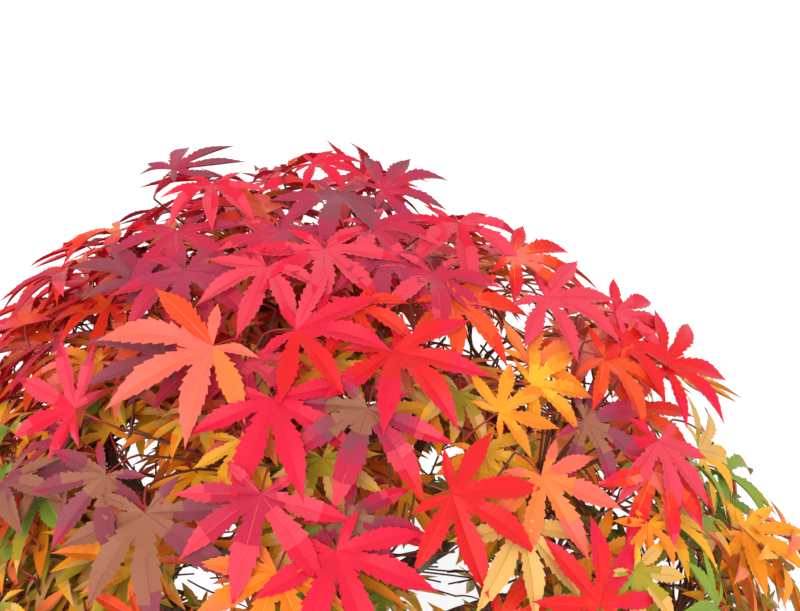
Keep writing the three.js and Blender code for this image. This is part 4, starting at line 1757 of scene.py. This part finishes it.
# How much narrower the rib is at the tip, and where the notches lie on the UV map
RIB_TAPER = 0.75
NOTCH_UV = (0.2, 0.3)

# How far the palm's tint runs out on a lobe, in steps, and how far one side of a leaf differs
PALM_REACH = (-1.6, 2.2)
SIDE_STRAY = 0.8

# Steps along a long and a short lobe, with teeth and plain, and where long begins
TOOTHED_STEPS = (9, 6)
PLAIN_STEPS = (4, 3)
LONG_LOBE = 0.6


class Blade:
    """A leaf's points, each with its place on its lobe, and its faces, each with its values of the tint."""

    def __init__(self, fold, is_plain):
        self.fold, self.is_plain = fold, is_plain
        self.points, self.on_lobe, self.faces = [], [], []
        self.values = {"palm": [], "rib": [], "side": []}
        self.side = 0.0
        self.heart = self.put(0, 0, 0, 0, 0)

    def put(self, x, y, z, across, along):
        self.points.append((x, y, z))
        self.on_lobe.append((across, along))
        return len(self.points) - 1

    def face(self, corners, palm, rib=0.0):
        self.faces.append(corners)
        for name, value in (("palm", palm), ("rib", rib), ("side", self.side)):
            self.values[name].append(value)


class Lobe:
    """One lobe of a blade, from the notch before it to the notch after it."""

    def __init__(self, blade, turn, long, bend, curl, notches):
        self.blade, self.long, self.bend, self.curl, self.notches = blade, long, bend, curl, notches
        self.ahead = np.array([math.cos(math.radians(turn)), math.sin(math.radians(turn))])
        self.beside = np.array([-self.ahead[1], self.ahead[0]])
        self.steps = (PLAIN_STEPS if blade.is_plain else TOOTHED_STEPS)[0 if long > LONG_LOBE else 1]
        self.half = settings("leaves").lobe_width * long
        ends = [np.array(blade.points[n][:2]) for n in notches]
        self.starts = [max(FIRST, float(e @ self.ahead) / long) for e in ends]
        self.start_widths = [abs(float(e @ self.beside)) for e in ends]
        self.start = sum(self.starts) / 2
        self.rib, self.rim = [], ([], [])

    def half_width(self, t, pick):
        """Half width at a share of the lobe's length: out from the notch, then in to a drawn-out tip."""
        if t < WIDEST:
            ease = max(0.0, (t - self.starts[pick]) / (WIDEST - self.starts[pick]))
            return mix(self.start_widths[pick], self.half, ease * ease * (3 - 2 * ease))
        u = (t - WIDEST) / (1 - WIDEST)
        return self.half * (1 - u * u) ** DRAWN_OUT

    def spot(self, t, side, width, lift):
        """Puts a point at a share of the lobe's length, to one side of its rib."""
        sway = side * width + self.curl * self.long * t * t * t * 0.5
        place = self.ahead * self.long * t + self.beside * sway
        height = self.bend * math.sin(math.pi * t) * self.long + self.blade.fold * lift
        return self.blade.put(*place, height, side, t)

    def put_rib_and_rim(self):
        for n in range(self.steps + 1):
            t = mix(self.start, 1.0, n / self.steps)
            if n == self.steps or self.blade.is_plain:
                self.rib.append((self.spot(t, 0, 0, 0),) * 2)
            else:
                half_rib = settings("leaves").rib * (1 - RIB_TAPER * t)
                self.rib.append(tuple(self.spot(t, side, half_rib, 0) for side in (-1, 1)))
            for pick, side in enumerate((-1, 1)):
                if n == 0:
                    self.rim[pick].append(self.notches[pick])
                elif n < self.steps:
                    w = self.half_width(t, pick) * TOOTH_NOTCH
                    self.rim[pick].append(self.spot(t, side, w, w))

    def fill_side(self, pick, side, draw):
        """The faces between the rib and one side's rim, with a tooth on each but the last."""
        leaves, blade, rim, steps = settings("leaves"), self.blade, self.rim[pick], self.steps
        later = mix(*PALM_REACH, draw())
        for n in range(steps):
            t = mix(self.start, 1.0, (n + TOOTH_PLACE) / steps)
            palm = min(1.0, 1 - (n + later + draw()) / steps)
            inner = [self.rib[n][pick], self.rib[n + 1][pick]]
            if n == steps - 1:
                blade.face([*inner, rim[n]], palm)
            elif blade.is_plain:
                blade.face([*inner, rim[n + 1], rim[n]], palm)
            else:
                w = self.half_width(t, pick)
                w += leaves.tooth * self.long * (1.2 - t) * mix(*TOOTH_SIZES, draw())
                blade.face([*inner, rim[n + 1], self.spot(t, side, w, w * TOOTH_LIFT), rim[n]], palm)
        if rim[0] != blade.heart:
            blade.face([blade.heart, self.rib[0][pick], rim[0]], 1.0)

    def fill_rib(self):
        for n, ((a0, a1), (b0, b1)) in enumerate(zip(self.rib, self.rib[1:])):
            self.blade.face([a0, b0, a1] if b0 == b1 else [a0, b0, b1, a1], 1 - n / self.steps, 1.0)
        self.blade.face([self.blade.heart, *self.rib[0]], 1.0, 1.0)


def draw_blade(k):
    """The blade of a leaf of unit length, and how far it droops."""
    draw = seeded(SHAPE_SEED + k)
    blade = Blade(mix(*FOLD, draw()), is_plain=k >= settings("leaves").shapes)
    droop = mix(*DROOP, draw())
    turns = [turn + (draw() - 0.5) * LOBE_STRAY for turn, _, _ in LOBES]
    lengths = [long * mix(*LOBE_LENGTH, draw()) for _, long, _ in LOBES]
    bends = [mix(*LOBE_BEND, draw()) for _ in LOBES]
    curls = [mix(*LOBE_CURL, draw()) for _ in LOBES]
    notches = [blade.heart]
    for before, after, (_, _, depth) in zip(turns, turns[1:], LOBES[1:]):
        turn = math.radians((before + after) / 2)
        lift = blade.fold * depth * math.sin(math.radians(after - before) / 2)
        notches.append(blade.put(depth * math.cos(turn), depth * math.sin(turn), lift, *NOTCH_UV))
    notches.append(blade.heart)
    for i, (turn, long, bend, curl) in enumerate(zip(turns, lengths, bends, curls)):
        blade.side = math.sin(math.radians(turn)) + (draw() - 0.5) * SIDE_STRAY
        lobe = Lobe(blade, turn, long, bend, curl, notches[i : i + 2])
        lobe.put_rib_and_rim()
        for pick, side in enumerate((-1, 1)):
            lobe.fill_side(pick, side, draw)
        if not blade.is_plain:
            lobe.fill_rib()
    return blade, droop


def leaf_shape(k):
    """One leaf of unit length: its stalk end at the origin, middle lobe along +X, upper side up."""
    blade, droop = draw_blade(k)
    bent = []
    for x, y, z in blade.points:
        out = x * x + y * y
        drawn_in = 1 - droop * DRAWN_IN * out
        bent.append((x * drawn_in, y * drawn_in, z - droop * out))
    obj = new_object(f"leaf_shape_{k}", bent, blade.faces)
    for name, values in blade.values.items():
        obj.data.attributes.new(name, "FLOAT", "FACE").data.foreach_set("value", values)
    sides = {}
    for polygon, rib in zip(obj.data.polygons, blade.values["rib"]):
        for key in polygon.edge_keys:
            sides.setdefault(key, set()).add(rib)
    for edge in obj.data.edges:
        edge.use_edge_sharp = len(sides[edge.key]) > 1
    uv = obj.data.uv_layers.new(name="lobe")
    for loop in obj.data.loops:
        uv.data[loop.index].uv = blade.on_lobe[loop.vertex_index]
    shade_smooth(obj)
    with faces_of(obj) as work:
        work.normal_update()
        bmesh.ops.reverse_faces(work, faces=[f for f in work.faces if f.normal.z < 0])
    return obj


def set_values(mesh, name, kind, values):
    layer = mesh.attributes.new(name, kind, "POINT")
    layer.data.foreach_set("value", np.array(values).ravel())


TINT_VALUES = ["tint", "palm_turn", "rib_turn", "side_turn"]
LEAF_VALUES = ["is_leaf", "thickness", "size", "facing", "shape", "palm", "rib", "side", *TINT_VALUES]

# Thickness of a stalk at its node and at its blade, as shares of its radius
STALK_TAPER = (1.25, 0.85)


def carrier_of_leaves(name, places):
    """A mesh whose first points carry the leaves and whose edges carry the stalks."""
    leaves = settings("leaves")
    points = [p.base for p in places]
    edges, radii = [], [0.0] * len(points)
    for place in places:
        first, steps = len(points), leaves.stalk_steps
        for i in range(steps + 1):
            points.append(place.stalk.at(i / steps))
            radii.append(leaves.stalk_radius * mix(*STALK_TAPER, i / steps))
            if i:
                edges.append((first + i - 1, first + i))
    obj = new_object(name, points, [], edges)
    rest = len(points) - len(places)
    none = [0] * rest
    set_values(obj.data, "is_leaf", "BOOLEAN", [True] * len(places) + [False] * rest)
    set_values(obj.data, "thickness", "FLOAT", radii)
    set_values(obj.data, "size", "FLOAT", [p.size for p in places] + none)
    set_values(obj.data, "facing", "QUATERNION", [list(p.facing) for p in places] + [[1, 0, 0, 0]] * rest)
    set_values(obj.data, "shape", "INT", [p.shape for p in places] + none)
    for k, value_name in enumerate(TINT_VALUES):
        set_values(obj.data, value_name, "FLOAT", [p.tints[k] for p in places] + none)
    return obj


def carrier_of_twigs(name, lines):
    """A mesh whose edges carry the twigs and shoots."""
    obj = new_object(name, lines.points, [], lines.edges)
    set_values(obj.data, "thickness", "FLOAT", lines.radii)
    set_values(obj.data, "shoot", "INT", lines.young)
    return obj


class MAPLE_OT_foliage(Operator):
    """Grows the twigs, shoots, stalks and leaves of every mass of foliage"""

    bl_idname = "maple.foliage"
    bl_label = "Foliage"

    def execute(self, context):
        twigs, leaves = settings("twigs"), settings("leaves")
        # Without a seed the twigs' crooks would differ from run to run
        noise.seed_set(settings("crown").seed + 1)
        shapes = shelf("leaf_shapes", [leaf_shape(k) for k in range(leaves.shapes + leaves.plain_shapes)])
        tints = [leaf_material(name, tint) for name, tint in TINTS]
        on_leaves = leaf_tree(tints, twig_material("stalk", leaves.stalk_red, roughness=0.45))
        bark = twig_material("twig_bark", twigs.twig_bark, roughness=0.7)
        on_twigs = twig_tree(bark, twig_material("shoot_bark", twigs.shoot_bark, roughness=0.5))
        twig_directions, sprays = all_sprays()
        in_front, view = front_leaves(), PictureView()
        for index, (name, _, _, _) in enumerate(MASSES):
            node = "foliage_" + name
            mass = Mass(index, twig_directions)
            mass.grow_sprays(sprays, in_front, view)
            mass.add_front_leaves(in_front)
            carrier = carrier_of_twigs(node + "_lines", mass.lines)
            grown = apply_tree(carrier, node + "_twigs", on_twigs, {"Sides": twigs.sides})
            drop_values(grown, ["thickness", "shoot"])
            finished(grown, [node])
            carrier = carrier_of_leaves(node + "_points", mass.places)
            values = {"Leaf shapes": shapes, "Stalk sides": leaves.stalk_sides}
            grown = apply_tree(carrier, node + "_leaves", on_leaves, values)
            drop_values(grown, LEAF_VALUES)
            finished(grown, [node])
        clear_shelf(shapes)
        return {"FINISHED"}


# Stage

# Radius of the floor's bend up into the backdrop, and rings of faces on it
FLOOR_BEND = 1.6
FLOOR_RINGS = 10

# The soft lights: how wide each looks, in degrees, and the way that it comes from
LIGHTS = {"key": (20, (-0.13, -1.0, 0.34)), "rim": (60, (0.45, 1.0, 0.8))}


class MAPLE_OT_stage(Operator):
    """Sets the pale floor, the soft light and the camera"""

    bl_idname = "maple.stage"
    bl_label = "Stage"

    def floor(self):
        """A floor that curves up into a backdrop on all sides, out of sight of its own edge."""
        stage = settings("stage")
        sides, profile = stage.floor_sides, []
        for k in range(FLOOR_RINGS + 1):
            turn = math.pi / 2 * k / FLOOR_RINGS
            r = stage.floor_radius - FLOOR_BEND + FLOOR_BEND * math.sin(turn)
            profile.append((r, FLOOR_BEND - FLOOR_BEND * math.cos(turn)))
        profile.append((stage.floor_radius, stage.wall_height))
        vertices = [(0, 0, 0)]
        for r, z in profile:
            for s in range(sides):
                turn = math.tau * s / sides
                vertices.append((r * math.cos(turn), r * math.sin(turn), z))
        faces = [(0, 1 + s, 1 + (s + 1) % sides) for s in range(sides)]
        for ring in range(len(profile) - 1):
            a, b = 1 + ring * sides, 1 + (ring + 1) * sides
            faces += [(a + s, b + s, b + (s + 1) % sides, a + (s + 1) % sides) for s in range(sides)]
        obj = new_object("floor", vertices, faces)
        shade_smooth(obj)
        material, _, shader = new_material("pale_floor")
        shader.inputs["Base Color"].default_value = (*[stage.floor_grey] * 3, 1)
        shader.inputs["Roughness"].default_value = 0.9
        obj.data.materials.append(material)
        return obj

    def light(self):
        stage = settings("stage")
        world = bpy.data.worlds.new("studio")
        world.use_nodes = True
        sky = world.node_tree.nodes["Background"]
        sky.inputs["Color"].default_value = (1, 1, 1, 1)
        sky.inputs["Strength"].default_value = stage.sky
        bpy.context.scene.world = world
        for name, (spread, way) in LIGHTS.items():
            lamp = bpy.data.lights.new(name, "SUN")
            lamp.energy = getattr(stage, name)
            lamp.angle = math.radians(spread)
            light = bpy.data.objects.new(name, lamp)
            light.rotation_euler = Vector(way).to_track_quat("Z", "Y").to_euler()
            bpy.context.scene.collection.objects.link(light)

    def camera(self):
        stage = settings("stage")
        lens = bpy.data.cameras.new("camera")
        lens.lens, lens.sensor_width = stage.lens, SENSOR
        lens.clip_start, lens.clip_end = 0.01, 50.0
        camera = bpy.data.objects.new("camera", lens)
        back = Vector(PictureView().back)
        camera.location = Vector(stage.target) + back * stage.distance
        camera.rotation_euler = back.to_track_quat("Z", "Y").to_euler()
        bpy.context.scene.collection.objects.link(camera)
        bpy.context.scene.camera = camera

    def execute(self, context):
        self.floor()
        self.light()
        self.camera()
        context.scene.view_settings.view_transform = "Standard"
        return {"FINISHED"}


OPERATORS = [
    MAPLE_OT_pot,
    MAPLE_OT_soil,
    MAPLE_OT_trunk,
    MAPLE_OT_boughs,
    MAPLE_OT_foliage,
    MAPLE_OT_stage,
]


class MAPLE_PT_sidebar(Panel):
    bl_label = "Maple Bonsai"
    bl_idname = "MAPLE_PT_sidebar"
    bl_space_type = "VIEW_3D"
    bl_region_type = "UI"
    bl_category = "Maple"

    def draw(self, context):
        for operator in OPERATORS:
            self.layout.operator(operator.bl_idname)
        for name, group in GROUPS.items():
            box = self.layout.box()
            box.label(text=name.replace("_", " ").capitalize())
            for prop in group.__annotations__:
                box.prop(getattr(context.scene, name), prop)


def register():
    for cls in (*GROUPS.values(), *OPERATORS, MAPLE_PT_sidebar):
        bpy.utils.register_class(cls)
    for name, group in GROUPS.items():
        setattr(bpy.types.Scene, name, PointerProperty(type=group))


def unregister():
    for name in GROUPS:
        delattr(bpy.types.Scene, name)
    for cls in reversed((*GROUPS.values(), *OPERATORS, MAPLE_PT_sidebar)):
        bpy.utils.unregister_class(cls)


def main():
    register()
    bpy.ops.maple.pot()
    bpy.ops.maple.soil()
    bpy.ops.maple.trunk()
    bpy.ops.maple.boughs()
    bpy.ops.maple.foliage()
    bpy.ops.maple.stage()


if __name__ == "__main__":
    main()
